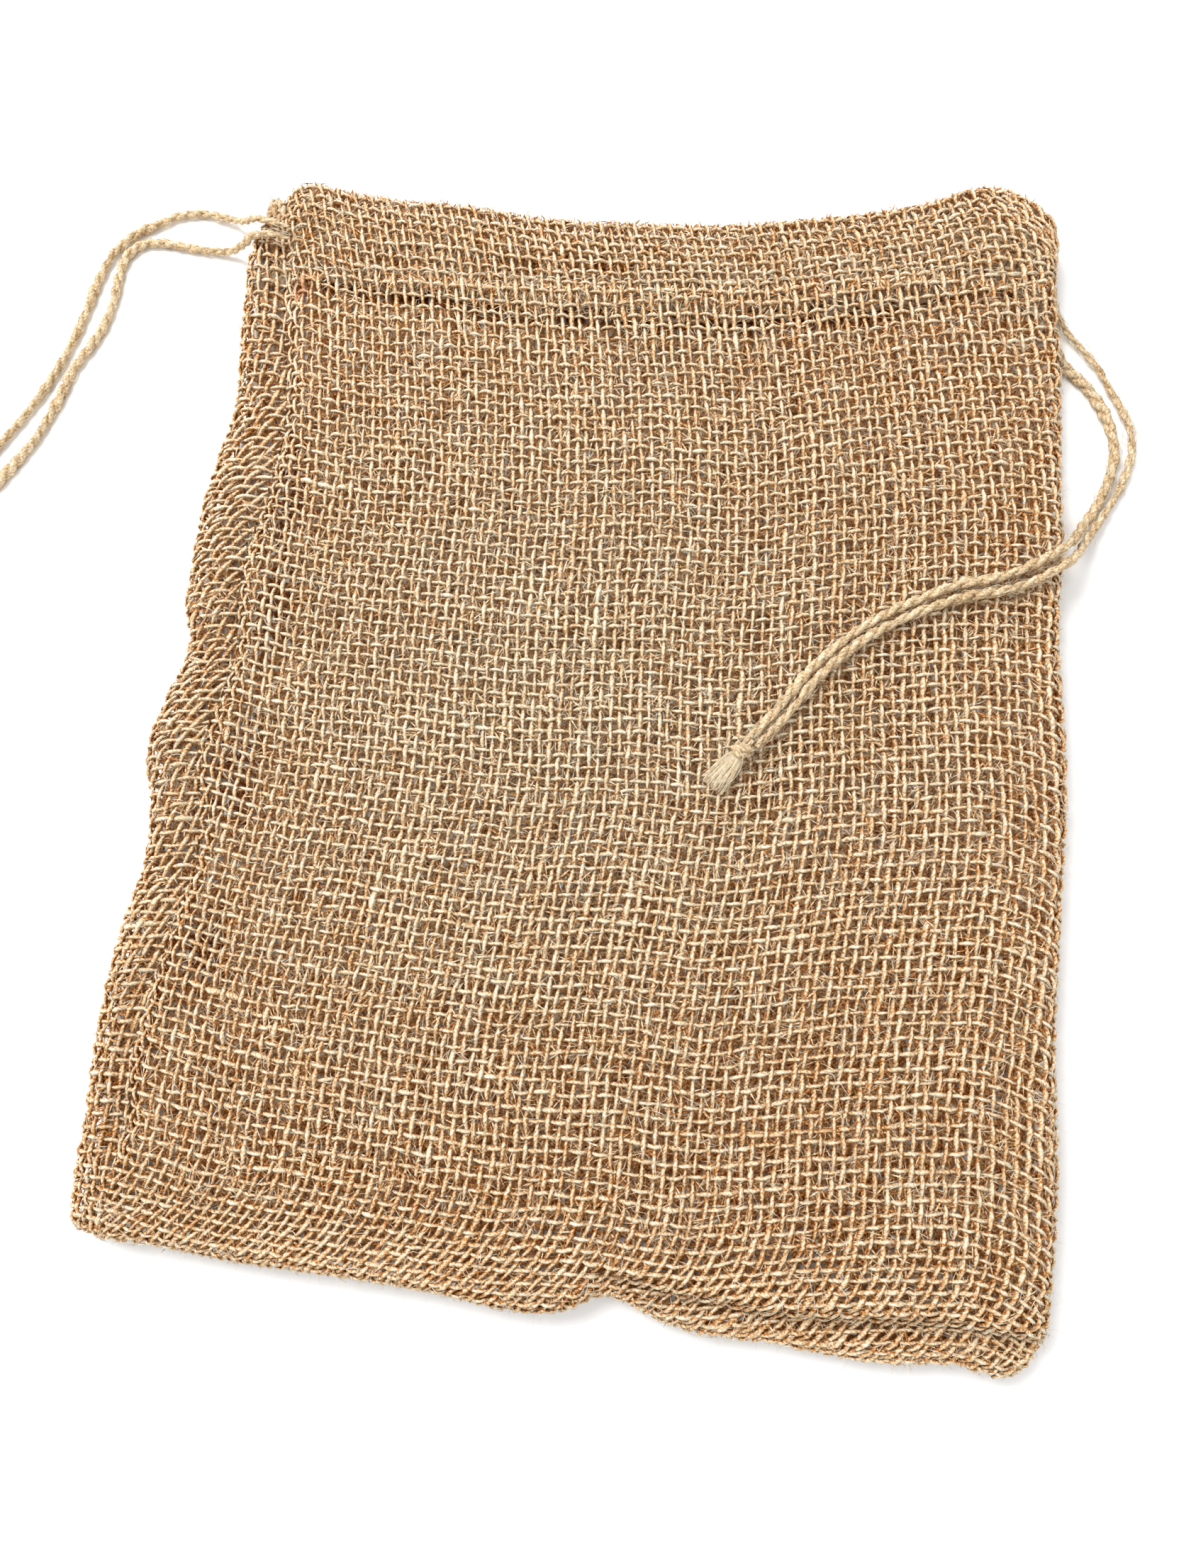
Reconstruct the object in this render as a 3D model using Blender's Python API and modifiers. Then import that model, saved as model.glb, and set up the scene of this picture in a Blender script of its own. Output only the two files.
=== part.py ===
"""Small hessian sack with two jute drawstrings, lying flat on its back.

One rectangle of open plain-weave hessian is folded along the right side, sewn up the
left side and along the bottom, and turned right side out. The mouth is turned down
inside as a casing, and two lengths of jute twine run round in it. The two ends of one
come out at the left, the two ends of the other at the right, each pair tied in one knot.

Frame: X runs across the sack to its folded side, Y towards the mouth, Z up from the
surface that the back panel lies on. Tables and sizes are in millimetres.
"""

import math

import bmesh
import bpy
import numpy as np
from mathutils import Vector

MM = 0.001

# Driving sizes of the cloth.
CLOTH = 1.25            # one layer of hessian
CASING_WALL = 2.3       # the turned-down hem: two layers
CASING_DEPTH = 24.0     # from the mouth down to the hem's raw edge
BODY_TOP = 8.5          # outer height of the front panel
CASING_TOP = 9.7        # outer height of the front over the casing
RIM = 3.9               # radius with which the back turns up into the front
RIM_HEIGHT = 3.6        # height of the outermost line of the turn

# How finely the surface is divided: closer at its turns, seams and casing.
TURN_POINTS = 5
PANEL_STATIONS = 16
PANEL_ROWS = 22
ROW_GAP = 5.0
ROWS_ABOVE_BOTTOM = (5.2, 6.8, 8.4, 10.4, 13.5, 18.0)
ROWS_BELOW_MOUTH = (27.0, 24.0, 21.0, 16.5, 12.0, 7.5, 3.5, 0.0)

# Relief of the front, each as a height and the reach over which it fades.
CASING_TWINE = (0.8, 4.0)       # the twine that runs inside the casing
CASING_TWINE_BELOW = 11.0       # and how far it lies below the mouth
HEM_TROUGH = (-0.5, 2.6)        # where the hem's raw edge is stitched down
SEAM_TROUGH = (-2.3, 2.6)       # beside the sewn seam, between the panel and its rolled band
SEAM_BANK = (0.5, 4.5)          # the panel just inside that trough
SEAM_BANK_IN = 7.0
BAND_DROP = 1.0                 # the rolled band lies lower than the panel
BOTTOM_DROP = 2.6               # the rolled part of the bottom seam
BOTTOM_TROUGH = (-1.3, 1.5)
BOTTOM_CREASE = (-0.7, 3.0)     # the bottom seam's allowance, felt through the front
BOTTOM_CREASE_UP = 9.0

# Driving sizes of the twine.
TWINE = 2.0             # diameter
GAP = 0.3               # clearance between pieces that touch
ROUTE_STEP = 5.0        # between the points of a strand
KNOT_CORE = (1.62, 4.4) # radius and length of the crossed strands in a knot
KNOT_RING = 1.45        # each wrap of the knot: middle radius
KNOT_WRAP = 0.95        # and the radius of the strand in it
WRAP_TILT = 16.0        # degrees that each wrap leans
WRAP_APART = 0.75       # each wrap's distance from the knot's middle
TAIL = 8.5              # frayed ends beyond the knot
TAIL_ENDS = (1.05, 1.45)        # radius at the knot and where the fibres splay

# Sides of the sack as it lies: the left edge, the sewn seam that has rolled over on to
# the front, and the folded right edge.
SIDES = {
    "y": [-127, -120, -112, -102, -90, -78, -60, -49, -36, -21, -9, 4,
          14, 24, 37, 50, 60, 68, 80, 94, 100, 108, 117, 124],
    "left": [-97.5, -99.0, -99.7, -100.1, -101.0, -101.2, -99.9, -98.2, -98.6, -102.1, -100.1, -97.2,
             -99.9, -100.3, -100.5, -99.2, -97.8, -97.3, -98.4, -99.8, -100.2, -100.3, -97.9, -98.0],
    "seam": [-89.5, -89.5, -89.5, -89.6, -91.0, -90.3, -87.6, -85.4, -85.6, -88.8, -86.3, -84.6,
             -86.0, -86.5, -84.9, -83.0, -82.4, -83.2, -85.0, -87.6, -88.3, -89.2, -90.8, -92.0],
    "right": [98.6, 99.8, 100.6, 101.2, 101.5, 101.0, 100.6, 101.1, 101.6, 102.1, 102.1, 101.3,
              100.6, 100.2, 100.8, 100.6, 100.2, 100.1, 99.9, 99.2, 98.3, 98.2, 98.4, 96.8],
}

# The mouth dips in the middle and stands up at both corners, most at the right one.
MOUTH = {
    "x": [-98, -96.5, -92.4, -89.5, -83.7, -75.5, -62, -42, -23, 0, 25, 43, 60, 69, 75, 83, 90, 94.4, 98.3],
    "y": [121.5, 124.2, 124.0, 126.6, 128.0, 126.1, 124.0, 122.3, 119.3, 118.6, 118.8, 121.1, 123.7, 126.0,
          128.4, 129.4, 126.4, 122.3, 118.0],
}

# The bottom edge: a round corner at the left, a pinch right of the middle.
BOTTOM = {
    "x": [-100, -99.2, -97.5, -92.3, -80.8, -58.6, -37, -16, -7, 4, 9.5, 13.5, 19, 23.4, 31, 48, 58, 68.4, 81.5,
          96.2, 98.6],
    "y": [-114.0, -117.5, -122.6, -125.9, -126.6, -127.6, -127.7, -128.3, -129.1, -128.7, -126.9, -124.6, -124.9,
          -126.6, -128.3, -128.6, -129.1, -129.4, -127.9, -125.6, -122.0],
}

# Right of the pinch the bottom seam has rolled up on to the front, as a furrow.
BOTTOM_SEAM = {
    "x": [6, 14, 30, 49, 65, 81, 98],
    "y": [-119.0, -119.8, -121.9, -122.8, -121.7, -120.6, -120.9],
}
BOTTOM_SEAM_START = 9.0

# Soft swells and troughs of the cloth: middle, reach to each side, and height.
SWELLS = {
    "x": [84, -91.5, -93, -60, 30, -20, 62, 93, -40, -91.8, -90, -91.5],
    "y": [115, -117, -22, 40, -70, 60, 10, -40, -85, 66, 4, -49],
    "reach_x": [13, 9, 8, 22, 40, 30, 24, 9, 30, 6, 6, 6],
    "reach_y": [12, 9, 14, 45, 38, 30, 60, 50, 24, 8, 8, 9],
    "height": [2.2, 1.6, 0.8, -0.5, 0.5, 0.5, -0.4, 0.5, -0.4, -1.0, -1.3, -1.1],
}

# Routes of the four free ends of twine, chosen by hand: x, y, the height of the middle
# of the twine, and what that height is measured from.
LAID = TWINE / 2 + GAP
FLAT = TWINE / 2 + 0.1
LEFT_OUTER = [
    (-87.8, 112.6, LAID + 0.1, "front"), (-92.6, 114.0, 11.0, "table"), (-97.4, 115.7, 9.9, "table"),
    (-103.0, 118.6, 5.6, "table"), (-109.5, 122.2, 2.0, "table"), (-116.5, 124.3, FLAT, "table"),
    (-123.5, 123.8, FLAT, "table"), (-129.8, 120.8, FLAT, "table"), (-135.8, 117.2, FLAT, "table"),
    (-140.2, 112.0, FLAT, "table"), (-142.8, 104.0, FLAT, "table"), (-145.0, 91.0, FLAT, "table"),
    (-148.0, 79.4, FLAT, "table"), (-152.2, 68.6, FLAT, "table"), (-158.2, 57.6, FLAT, "table"),
    (-164.2, 47.6, FLAT, "table"), (-168.4, 37.0, FLAT, "table"), (-171.6, 27.0, FLAT, "table"),
    (-175.2, 18.0, FLAT, "table"), (-178.4, 12.6, 1.5, "table"), (-180.7, 9.1, 2.2, "table"),
]
LEFT_INNER = [
    (-87.4, 109.6, LAID + 0.1, "front"), (-92.0, 110.4, 11.1, "table"), (-97.0, 110.8, 10.1, "table"),
    (-102.6, 111.4, 5.4, "table"), (-108.2, 112.6, 1.8, "table"), (-114.5, 113.3, FLAT, "table"),
    (-121.0, 114.3, FLAT, "table"), (-127.5, 115.2, FLAT, "table"), (-133.0, 114.6, FLAT, "table"),
    (-136.4, 111.0, FLAT, "table"), (-137.4, 104.5, FLAT, "table"), (-137.6, 95.5, FLAT, "table"),
    (-140.0, 86.4, FLAT, "table"), (-144.0, 78.0, FLAT, "table"), (-146.4, 68.8, FLAT, "table"),
    (-150.2, 57.6, FLAT, "table"), (-156.6, 46.4, FLAT, "table"), (-162.4, 37.0, FLAT, "table"),
    (-167.0, 27.0, FLAT, "table"), (-171.6, 18.0, FLAT, "table"), (-175.6, 11.6, 1.5, "table"),
    (-178.9, 7.6, 2.2, "table"),
]
RIGHT_OUTER = [
    (98.7, 113.0, 1.2, "table"), (98.8, 107.0, FLAT, "table"), (99.5, 101.6, FLAT, "table"),
    (101.4, 97.8, FLAT, "table"), (104.2, 94.2, FLAT, "table"), (108.7, 88.0, FLAT, "table"),
    (112.4, 80.6, FLAT, "table"),
    (115.7, 73.6, FLAT, "table"), (116.3, 66.5, FLAT, "table"), (114.4, 59.4, FLAT, "table"),
    (111.4, 53.0, 1.3, "table"), (107.7, 46.8, 2.6, "table"), (104.6, 41.6, 4.8, "table"),
    (102.2, 38.0, 7.6, "table"), (99.6, 34.9, 9.5, "table"), (96.5, 32.6, LAID + 0.3, "front"),
    (89.2, 28.6, LAID, "front"), (83.6, 27.0, LAID, "front"), (77.5, 25.5, LAID, "front"),
    (70.8, 22.6, LAID, "front"), (64.0, 18.9, LAID, "front"), (57.8, 14.7, LAID, "front"),
    (52.9, 10.1, LAID, "front"), (48.7, 5.6, LAID, "front"), (45.3, 0.5, LAID, "front"),
    (42.1, -4.3, LAID, "front"), (39.2, -8.0, LAID + 0.4, "front"), (36.5, -11.1, LAID + 1.1, "front"),
]
RIGHT_INNER = [
    (98.9, 97.4, 1.2, "table"), (99.5, 92.4, FLAT, "table"), (101.6, 87.6, FLAT, "table"),
    (105.3, 83.9, FLAT, "table"), (109.0, 78.8, FLAT, "table"),
    (111.6, 72.6, FLAT, "table"), (112.6, 66.2, FLAT, "table"), (111.4, 59.8, FLAT, "table"),
    (108.6, 52.8, 1.3, "table"), (105.8, 48.2, 2.6, "table"), (103.6, 44.6, 4.8, "table"),
    (101.8, 41.6, 7.6, "table"), (99.0, 38.6, 9.6, "table"), (94.9, 35.4, LAID + 0.3, "front"),
    (87.8, 31.6, LAID, "front"), (83.0, 30.0, LAID, "front"), (76.5, 28.3, LAID, "front"),
    (69.6, 25.0, LAID, "front"), (62.6, 21.1, LAID, "front"), (56.2, 16.5, LAID, "front"),
    (51.1, 11.7, LAID, "front"), (46.9, 7.0, LAID, "front"), (43.3, 1.9, LAID, "front"),
    (40.1, -2.9, LAID, "front"), (37.4, -6.6, LAID + 0.4, "front"), (34.7, -9.7, LAID + 1.1, "front"),
]

# Knots: the middle of the wraps, and the way the frayed ends point.
LEFT_KNOT = {"at": (-181.4, 6.4, 2.5), "over": "table", "towards": (-0.62, -0.78, -0.06)}
RIGHT_KNOT = {
    "at": (34.1, -12.4, KNOT_RING + KNOT_WRAP + GAP), "over": "front", "towards": (-0.60, -0.79, -0.10),
}


def smooth(table, across, value, at):
    """A smooth curve through a table's rows: cubic Hermite pieces with the rows' own slopes."""
    x = np.array(table[across], float)
    y = np.array(table[value], float)
    at = np.clip(at, x[0], x[-1])
    slope = np.gradient(y, x)
    i = np.clip(np.searchsorted(x, at, side="right") - 1, 0, len(x) - 2)
    width = x[i + 1] - x[i]
    t = (at - x[i]) / width
    ends = (1 + 2 * t) * (1 - t) ** 2 * y[i] + t * t * (3 - 2 * t) * y[i + 1]
    return ends + width * (t * (1 - t) ** 2 * slope[i] - t * t * (1 - t) * slope[i + 1])


def bump(distance, width):
    """A bell of height 1 whose sides fall away over the width."""
    return np.exp(-((distance / width) ** 2))


def relief(size, distance):
    """A ridge or trough of the size's height, fading over its reach."""
    height, reach = size
    return height * bump(distance, reach)


def step(value, start, end):
    """0 below start, 1 above end, with a soft change between."""
    t = np.clip((value - start) / (end - start), 0, 1)
    return t * t * (3 - 2 * t)


def front_top(x, y):
    """Outer height of the front panel: its level, casing, seams and swells."""
    below_mouth = smooth(MOUTH, "x", "y", x) - y
    over_casing = 1 - step(below_mouth, CASING_DEPTH - 3, CASING_DEPTH + 4)
    height = BODY_TOP + (CASING_TOP - BODY_TOP) * over_casing
    height += relief(CASING_TWINE, below_mouth - CASING_TWINE_BELOW)
    height += relief(HEM_TROUGH, below_mouth - CASING_DEPTH)
    for sx, sy, reach_x, reach_y, rise in zip(*(SWELLS[name] for name in SWELLS)):
        height += rise * bump(x - sx, reach_x) * bump(y - sy, reach_y)
    from_seam = x - smooth(SIDES, "y", "seam", y)
    above_corner = step(y, -116, -104)
    height -= BAND_DROP * step(-from_seam, -3, 3)
    height += relief(SEAM_TROUGH, from_seam) * above_corner * (1 - 0.6 * over_casing)
    height += relief(SEAM_BANK, from_seam - SEAM_BANK_IN) * above_corner
    furrow = y - smooth(BOTTOM_SEAM, "x", "y", x)
    past_pinch = step(x, BOTTOM_SEAM_START, BOTTOM_SEAM_START + 8)
    height -= past_pinch * BOTTOM_DROP * step(-furrow, -2.5, 0.5)
    height += past_pinch * relief(BOTTOM_TROUGH, furrow)
    up_from_edge = y - smooth(BOTTOM, "x", "y", x)
    height += (1 - past_pinch) * relief(BOTTOM_CREASE, up_from_edge - BOTTOM_CREASE_UP)
    return height


def across_stations(left, seam, right):
    """Stations across one row, denser at both turns and the seam, and how far each is up its turn."""
    turn = np.radians(np.linspace(0, 90, TURN_POINTS))
    into = RIM * (1 - np.cos(turn))
    band = left + RIM + (seam - left - RIM) * np.array([0.4, 0.72, 0.88, 1.0])
    bank = seam + np.array([1.4, 3.4, 6.5])
    panel = np.linspace(bank[-1], right - RIM, PANEL_STATIONS)[1:-1]
    x = np.concatenate([left + into, band, bank, panel, (right - into)[::-1]])
    up = np.ones_like(x)
    up[:TURN_POINTS] = np.sin(turn)
    up[-TURN_POINTS:] = np.sin(turn)[::-1]
    return x, up


def row_heights():
    """Rows as (share of the sack's height, mm added), and how far each is up the bottom's turn."""
    turn = np.radians(np.linspace(0, 90, TURN_POINTS))
    rows = [(0.0, rise) for rise in RIM * (1 - np.cos(turn))]
    rows += [(0.0, rise) for rise in ROWS_ABOVE_BOTTOM]
    first, last = ROWS_ABOVE_BOTTOM[-1], -ROWS_BELOW_MOUTH[0] - ROW_GAP
    rows += [(share, first + (last - first) * share) for share in np.linspace(0, 1, PANEL_ROWS)[1:]]
    rows += [(1.0, -below) for below in ROWS_BELOW_MOUTH]
    up = np.ones(len(rows))
    up[:TURN_POINTS] = np.sin(turn)
    return rows, up


def cloth_surface():
    """Outer surface of the sack, front and back, as two grids of points that share their rim."""
    rows, row_up = row_heights()
    lowest = min(BOTTOM["y"])
    highest = max(MOUTH["y"])
    front = []
    back = []
    for (share, added), bottom_up in zip(rows, row_up):
        level = lowest + share * (highest - lowest) + added
        sides = [float(smooth(SIDES, "y", name, level)) for name in ("left", "seam", "right")]
        x, side_up = across_stations(*sides)
        bottom = smooth(BOTTOM, "x", "y", x)
        y = bottom + share * (smooth(MOUTH, "x", "y", x) - bottom) + added
        up = side_up * bottom_up
        front.append(np.stack([x, y, RIM_HEIGHT + (front_top(x, y) - RIM_HEIGHT) * up], axis=1))
        back.append(np.stack([x, y, RIM_HEIGHT * (1 - up)], axis=1))
    return np.array(front), np.array(back)


def material(name, colour, roughness):
    """A Principled material of one colour."""
    made = bpy.data.materials.new(name)
    made.use_nodes = True
    shader = made.node_tree.nodes["Principled BSDF"]
    shader.inputs["Base Color"].default_value = (*colour, 1)
    shader.inputs["Roughness"].default_value = roughness
    shader.inputs["Metallic"].default_value = 0.0
    return made


def add_object(name, data, collection, finish):
    """An object with this data and material in the sack's collection."""
    made = bpy.data.objects.new(name, data)
    collection.objects.link(made)
    made.data.materials.append(finish)
    return made


def shade_round(mesh):
    """Smooth shading, kept sharp at corners over 40 degrees."""
    mesh.shade_smooth()
    mesh.set_sharp_from_angle(angle=math.radians(40))


def build_cloth(collection, finish):
    """The sack's cloth: one open surface, thickened inwards, thicker where the hem doubles it."""
    front, back = cloth_surface()
    rows, columns = front.shape[:2]
    points = np.concatenate([front.reshape(-1, 3), back.reshape(-1, 3)]) * MM
    corner = np.arange((rows - 1) * columns).reshape(rows - 1, columns)[:, :-1].ravel()
    panel = np.stack([corner, corner + 1, corner + columns + 1, corner + columns], axis=1)
    faces = np.concatenate([panel, panel[:, ::-1] + rows * columns])
    mesh = bpy.data.meshes.new("sack_cloth")
    mesh.from_pydata(points.tolist(), [], faces.tolist())
    shaped = bmesh.new()
    shaped.from_mesh(mesh)
    bmesh.ops.remove_doubles(shaped, verts=shaped.verts, dist=0.00002)
    shaped.to_mesh(mesh)
    shaped.free()
    shade_round(mesh)
    cloth = add_object("sack_cloth", mesh, collection, finish)
    doubled = cloth.vertex_groups.new(name="casing")
    for vertex in mesh.vertices:
        x, y = vertex.co.x / MM, vertex.co.y / MM
        below_mouth = float(smooth(MOUTH, "x", "y", x)) - y
        share = float(1 - step(below_mouth, CASING_DEPTH - 1, CASING_DEPTH + 2))
        doubled.add([vertex.index], share, "REPLACE")
    wall = cloth.modifiers.new("cloth thickness", "SOLIDIFY")
    wall.thickness = CASING_WALL * MM
    wall.offset = -1.0
    wall.vertex_group = doubled.name
    wall.thickness_vertex_group = CLOTH / CASING_WALL
    return cloth


def level(over, x, y):
    """Height of what the twine lies on: the front panel, or the table under the sack."""
    return float(front_top(np.array(x), np.array(y))) if over == "front" else 0.0


def route_points(route):
    """Points every few diameters on a smooth curve through a route's own points."""
    knots = np.array([(x, y, height + level(over, x, y)) for x, y, height, over in route])
    along = np.concatenate([[0], np.cumsum(np.linalg.norm(np.diff(knots, axis=0), axis=1))])
    at = np.linspace(0, along[-1], math.ceil(along[-1] / ROUTE_STEP) + 1)
    columns = {"along": along, "x": knots[:, 0], "y": knots[:, 1], "z": knots[:, 2]}
    return np.stack([smooth(columns, "along", axis, at) for axis in "xyz"], axis=1)


def build_strand(name, route, collection, finish):
    """One free end of twine as a round tube along its route."""
    points = route_points(route) * MM
    curve = bpy.data.curves.new(name, "CURVE")
    curve.dimensions = "3D"
    curve.bevel_depth = TWINE / 2 * MM
    curve.bevel_resolution = 2
    curve.use_fill_caps = True
    spline = curve.splines.new("POLY")
    spline.points.add(len(points) - 1)
    for point, place in zip(spline.points, points):
        point.co = (*place, 1)
        point.radius = 1.0
    return add_object(name, curve, collection, finish)


def cut_tool(name, collection):
    """Puts the active primitive among the helpers, hidden, and returns it."""
    tool = bpy.context.active_object
    tool.name = name
    for owner in list(tool.users_collection):
        owner.objects.unlink(tool)
    collection.objects.link(tool)
    tool.hide_render = True
    tool.display_type = "WIRE"
    return tool


def build_knot(name, knot, collection, helpers, finish):
    """An overhand knot in both strands: two tilted wraps on a core, and the frayed ends beyond it."""
    x, y, height = knot["at"]
    middle = Vector((x, y, height + level(knot["over"], x, y))) * MM
    towards = Vector(knot["towards"]).normalized()
    turn = towards.to_track_quat("Z", "Y")
    bpy.ops.mesh.primitive_cylinder_add(
        vertices=12, radius=KNOT_CORE[0] * MM, depth=KNOT_CORE[1] * MM, location=middle,
        rotation=turn.to_euler(),
    )
    core = bpy.context.active_object
    core.name = name
    core.data.name = name
    for owner in list(core.users_collection):
        owner.objects.unlink(core)
    collection.objects.link(core)
    core.data.materials.append(finish)
    tools = []
    for side in (-1, 1):
        tilt = math.radians(-side * WRAP_TILT)
        lean = turn @ Vector((math.sin(tilt), 0, math.cos(tilt)))
        bpy.ops.mesh.primitive_torus_add(
            major_segments=20, minor_segments=8, major_radius=KNOT_RING * MM, minor_radius=KNOT_WRAP * MM,
            location=middle + towards * side * WRAP_APART * MM,
            rotation=lean.to_track_quat("Z", "Y").to_euler(),
        )
        tools.append(cut_tool(f"{name}_wrap_{side + 2}", helpers))
    spread = turn @ Vector((1, 0, 0))
    spread.z = 0
    spread.normalize()
    for side in (-1, 1):
        way = (towards + spread * side * 0.16).normalized()
        bpy.ops.mesh.primitive_cone_add(
            vertices=10, radius1=TAIL_ENDS[0] * MM, radius2=TAIL_ENDS[1] * MM, depth=TAIL * MM,
            location=middle + (towards * 1.2 + way * TAIL / 2 + spread * side * 0.75) * MM,
            rotation=way.to_track_quat("Z", "Y").to_euler(),
        )
        tools.append(cut_tool(f"{name}_end_{side + 2}", helpers))
    for tool in tools:
        join = core.modifiers.new(tool.name, "BOOLEAN")
        join.operation = "UNION"
        join.solver = "EXACT"
        join.object = tool
    return core


for old in list(bpy.data.objects):
    bpy.data.objects.remove(old, do_unlink=True)

sack = bpy.data.collections.new("hessian_sack")
bpy.context.scene.collection.children.link(sack)
tools_collection = bpy.data.collections.new("helpers")
bpy.context.scene.collection.children.link(tools_collection)

hessian = material("hessian", (0.55, 0.37, 0.20), 0.95)
jute_twine = material("jute_twine", (0.66, 0.51, 0.33), 0.9)

build_cloth(sack, hessian)
build_strand("left_drawstring_outer", LEFT_OUTER, sack, jute_twine)
build_strand("left_drawstring_inner", LEFT_INNER, sack, jute_twine)
build_strand("right_drawstring_outer", RIGHT_OUTER, sack, jute_twine)
build_strand("right_drawstring_inner", RIGHT_INNER, sack, jute_twine)
build_knot("left_knot", LEFT_KNOT, sack, tools_collection, jute_twine)
build_knot("right_knot", RIGHT_KNOT, sack, tools_collection, jute_twine)
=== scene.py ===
import math

import bpy
import numpy as np
from mathutils import Matrix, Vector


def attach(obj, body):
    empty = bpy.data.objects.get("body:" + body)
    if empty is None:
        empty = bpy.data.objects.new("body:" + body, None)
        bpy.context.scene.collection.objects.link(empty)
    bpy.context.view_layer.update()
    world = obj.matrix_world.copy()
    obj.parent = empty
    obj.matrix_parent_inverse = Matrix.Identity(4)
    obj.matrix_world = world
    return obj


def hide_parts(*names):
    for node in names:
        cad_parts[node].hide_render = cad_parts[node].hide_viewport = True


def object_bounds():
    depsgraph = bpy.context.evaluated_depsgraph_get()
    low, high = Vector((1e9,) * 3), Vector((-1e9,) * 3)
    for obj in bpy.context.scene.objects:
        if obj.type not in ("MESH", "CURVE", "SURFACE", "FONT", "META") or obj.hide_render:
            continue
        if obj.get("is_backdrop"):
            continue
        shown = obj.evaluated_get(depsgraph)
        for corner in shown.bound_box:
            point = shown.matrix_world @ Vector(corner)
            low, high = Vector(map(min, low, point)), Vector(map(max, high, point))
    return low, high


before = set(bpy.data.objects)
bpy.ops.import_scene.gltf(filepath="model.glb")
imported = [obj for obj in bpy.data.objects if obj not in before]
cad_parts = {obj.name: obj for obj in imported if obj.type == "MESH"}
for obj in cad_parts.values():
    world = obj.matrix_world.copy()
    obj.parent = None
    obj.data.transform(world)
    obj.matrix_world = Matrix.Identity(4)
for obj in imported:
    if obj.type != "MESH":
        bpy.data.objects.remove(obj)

cad_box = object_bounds()

# The view: from above the sack and a little below its middle, turned a few degrees.
CAMERA_AT = (0.0272, -0.0629, 0.2171)
CAMERA_RIGHT = (0.9902, 0.1034, -0.0934)
CAMERA_UP = (-0.0827, 0.9757, 0.2028)
CAMERA_BACK = (0.1121, -0.1931, 0.9748)
LENS_MM = 30.0
FILM_MM = 36.0
NEAREST_M = 0.005

camera = bpy.data.cameras.new("camera")
camera.lens = LENS_MM
camera.sensor_width = FILM_MM
camera.sensor_fit = "HORIZONTAL"
camera.clip_start = NEAREST_M
eye = bpy.data.objects.new("camera", camera)
bpy.context.scene.collection.objects.link(eye)
turn = Matrix((CAMERA_RIGHT, CAMERA_UP, CAMERA_BACK)).transposed().to_4x4()
eye.matrix_world = Matrix.Translation(CAMERA_AT) @ turn
bpy.context.scene.camera = eye


# How the empty sack lies. One rectangle of hessian is folded at the right and sewn at the
# left and along the bottom. The left seam has rolled over on to the front, and so has the
# right half of the bottom seam. All tables are in millimetres.
BODY_TOP = 8.5
CASING_TOP = 9.7
CASING_DEPTH = 24.0
RIM = 3.9
RIM_HEIGHT = 3.6
CASING_TWINE = (0.8, 4.0)
CASING_TWINE_BELOW = 11.0
CASING_EASE = (-3.0, 4.0)
HEM_TROUGH = (-0.5, 2.6)
SEAM_TROUGH = (-2.3, 2.6)
SEAM_FLATTER_ON_CASING = 0.6
SEAM_BANK = (0.5, 4.5)
SEAM_BANK_IN = 7.0
SEAM_EASE = 3.0
SEAM_FOOT = (-116.0, -104.0)
BAND_DROP = 1.0
BOTTOM_DROP = 2.6
BOTTOM_EASE = (-2.5, 0.5)
BOTTOM_TROUGH = (-1.3, 1.5)
BOTTOM_CREASE = (-0.7, 3.0)
BOTTOM_CREASE_UP = 9.0
SIDES = {
    "y": [-127, -120, -112, -102, -90, -78, -60, -49, -36, -21, -9, 4,
          14, 24, 37, 50, 60, 68, 80, 94, 100, 108, 117, 124],
    "left": [-97.5, -99.0, -99.7, -100.1, -101.0, -101.2, -99.9, -98.2, -98.6, -102.1, -100.1, -97.2,
             -99.9, -100.3, -100.5, -99.2, -97.8, -97.3, -98.4, -99.8, -100.2, -100.3, -97.9, -98.0],
    "seam": [-89.5, -89.5, -89.5, -89.6, -91.0, -90.3, -87.6, -85.4, -85.6, -88.8, -86.3, -84.6,
             -86.0, -86.5, -84.9, -83.0, -82.4, -83.2, -85.0, -87.6, -88.3, -89.2, -90.8, -92.0],
    "right": [98.6, 99.8, 100.6, 101.2, 101.5, 101.0, 100.6, 101.1, 101.6, 102.1, 102.1, 101.3,
              100.6, 100.2, 100.8, 100.6, 100.2, 100.1, 99.9, 99.2, 98.3, 98.2, 98.4, 96.8],
}
MOUTH = {
    "x": [-98, -96.5, -92.4, -89.5, -83.7, -75.5, -62, -42, -23, 0, 25, 43, 60, 69, 75, 83, 90,
          94.4, 98.3],
    "y": [121.5, 124.2, 124.0, 126.6, 128.0, 126.1, 124.0, 122.3, 119.3, 118.6, 118.8, 121.1,
          123.7, 126.0, 128.4, 129.4, 126.4, 122.3, 118.0],
}
BOTTOM = {
    "x": [-100, -99.2, -97.5, -92.3, -80.8, -58.6, -37, -16, -7, 4, 9.5, 13.5, 19, 23.4,
          31, 48, 58, 68.4, 81.5, 96.2, 98.6],
    "y": [-114.0, -117.5, -122.6, -125.9, -126.6, -127.6, -127.7, -128.3, -129.1, -128.7, -126.9,
          -124.6, -124.9, -126.6, -128.3, -128.6, -129.1, -129.4, -127.9, -125.6, -122.0],
}
BOTTOM_SEAM = {
    "x": [6, 14, 30, 49, 65, 81, 98],
    "y": [-119.0, -119.8, -121.9, -122.8, -121.7, -120.6, -120.9],
}
BOTTOM_SEAM_START = 9.0
BOTTOM_SEAM_EASE = 8.0
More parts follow.
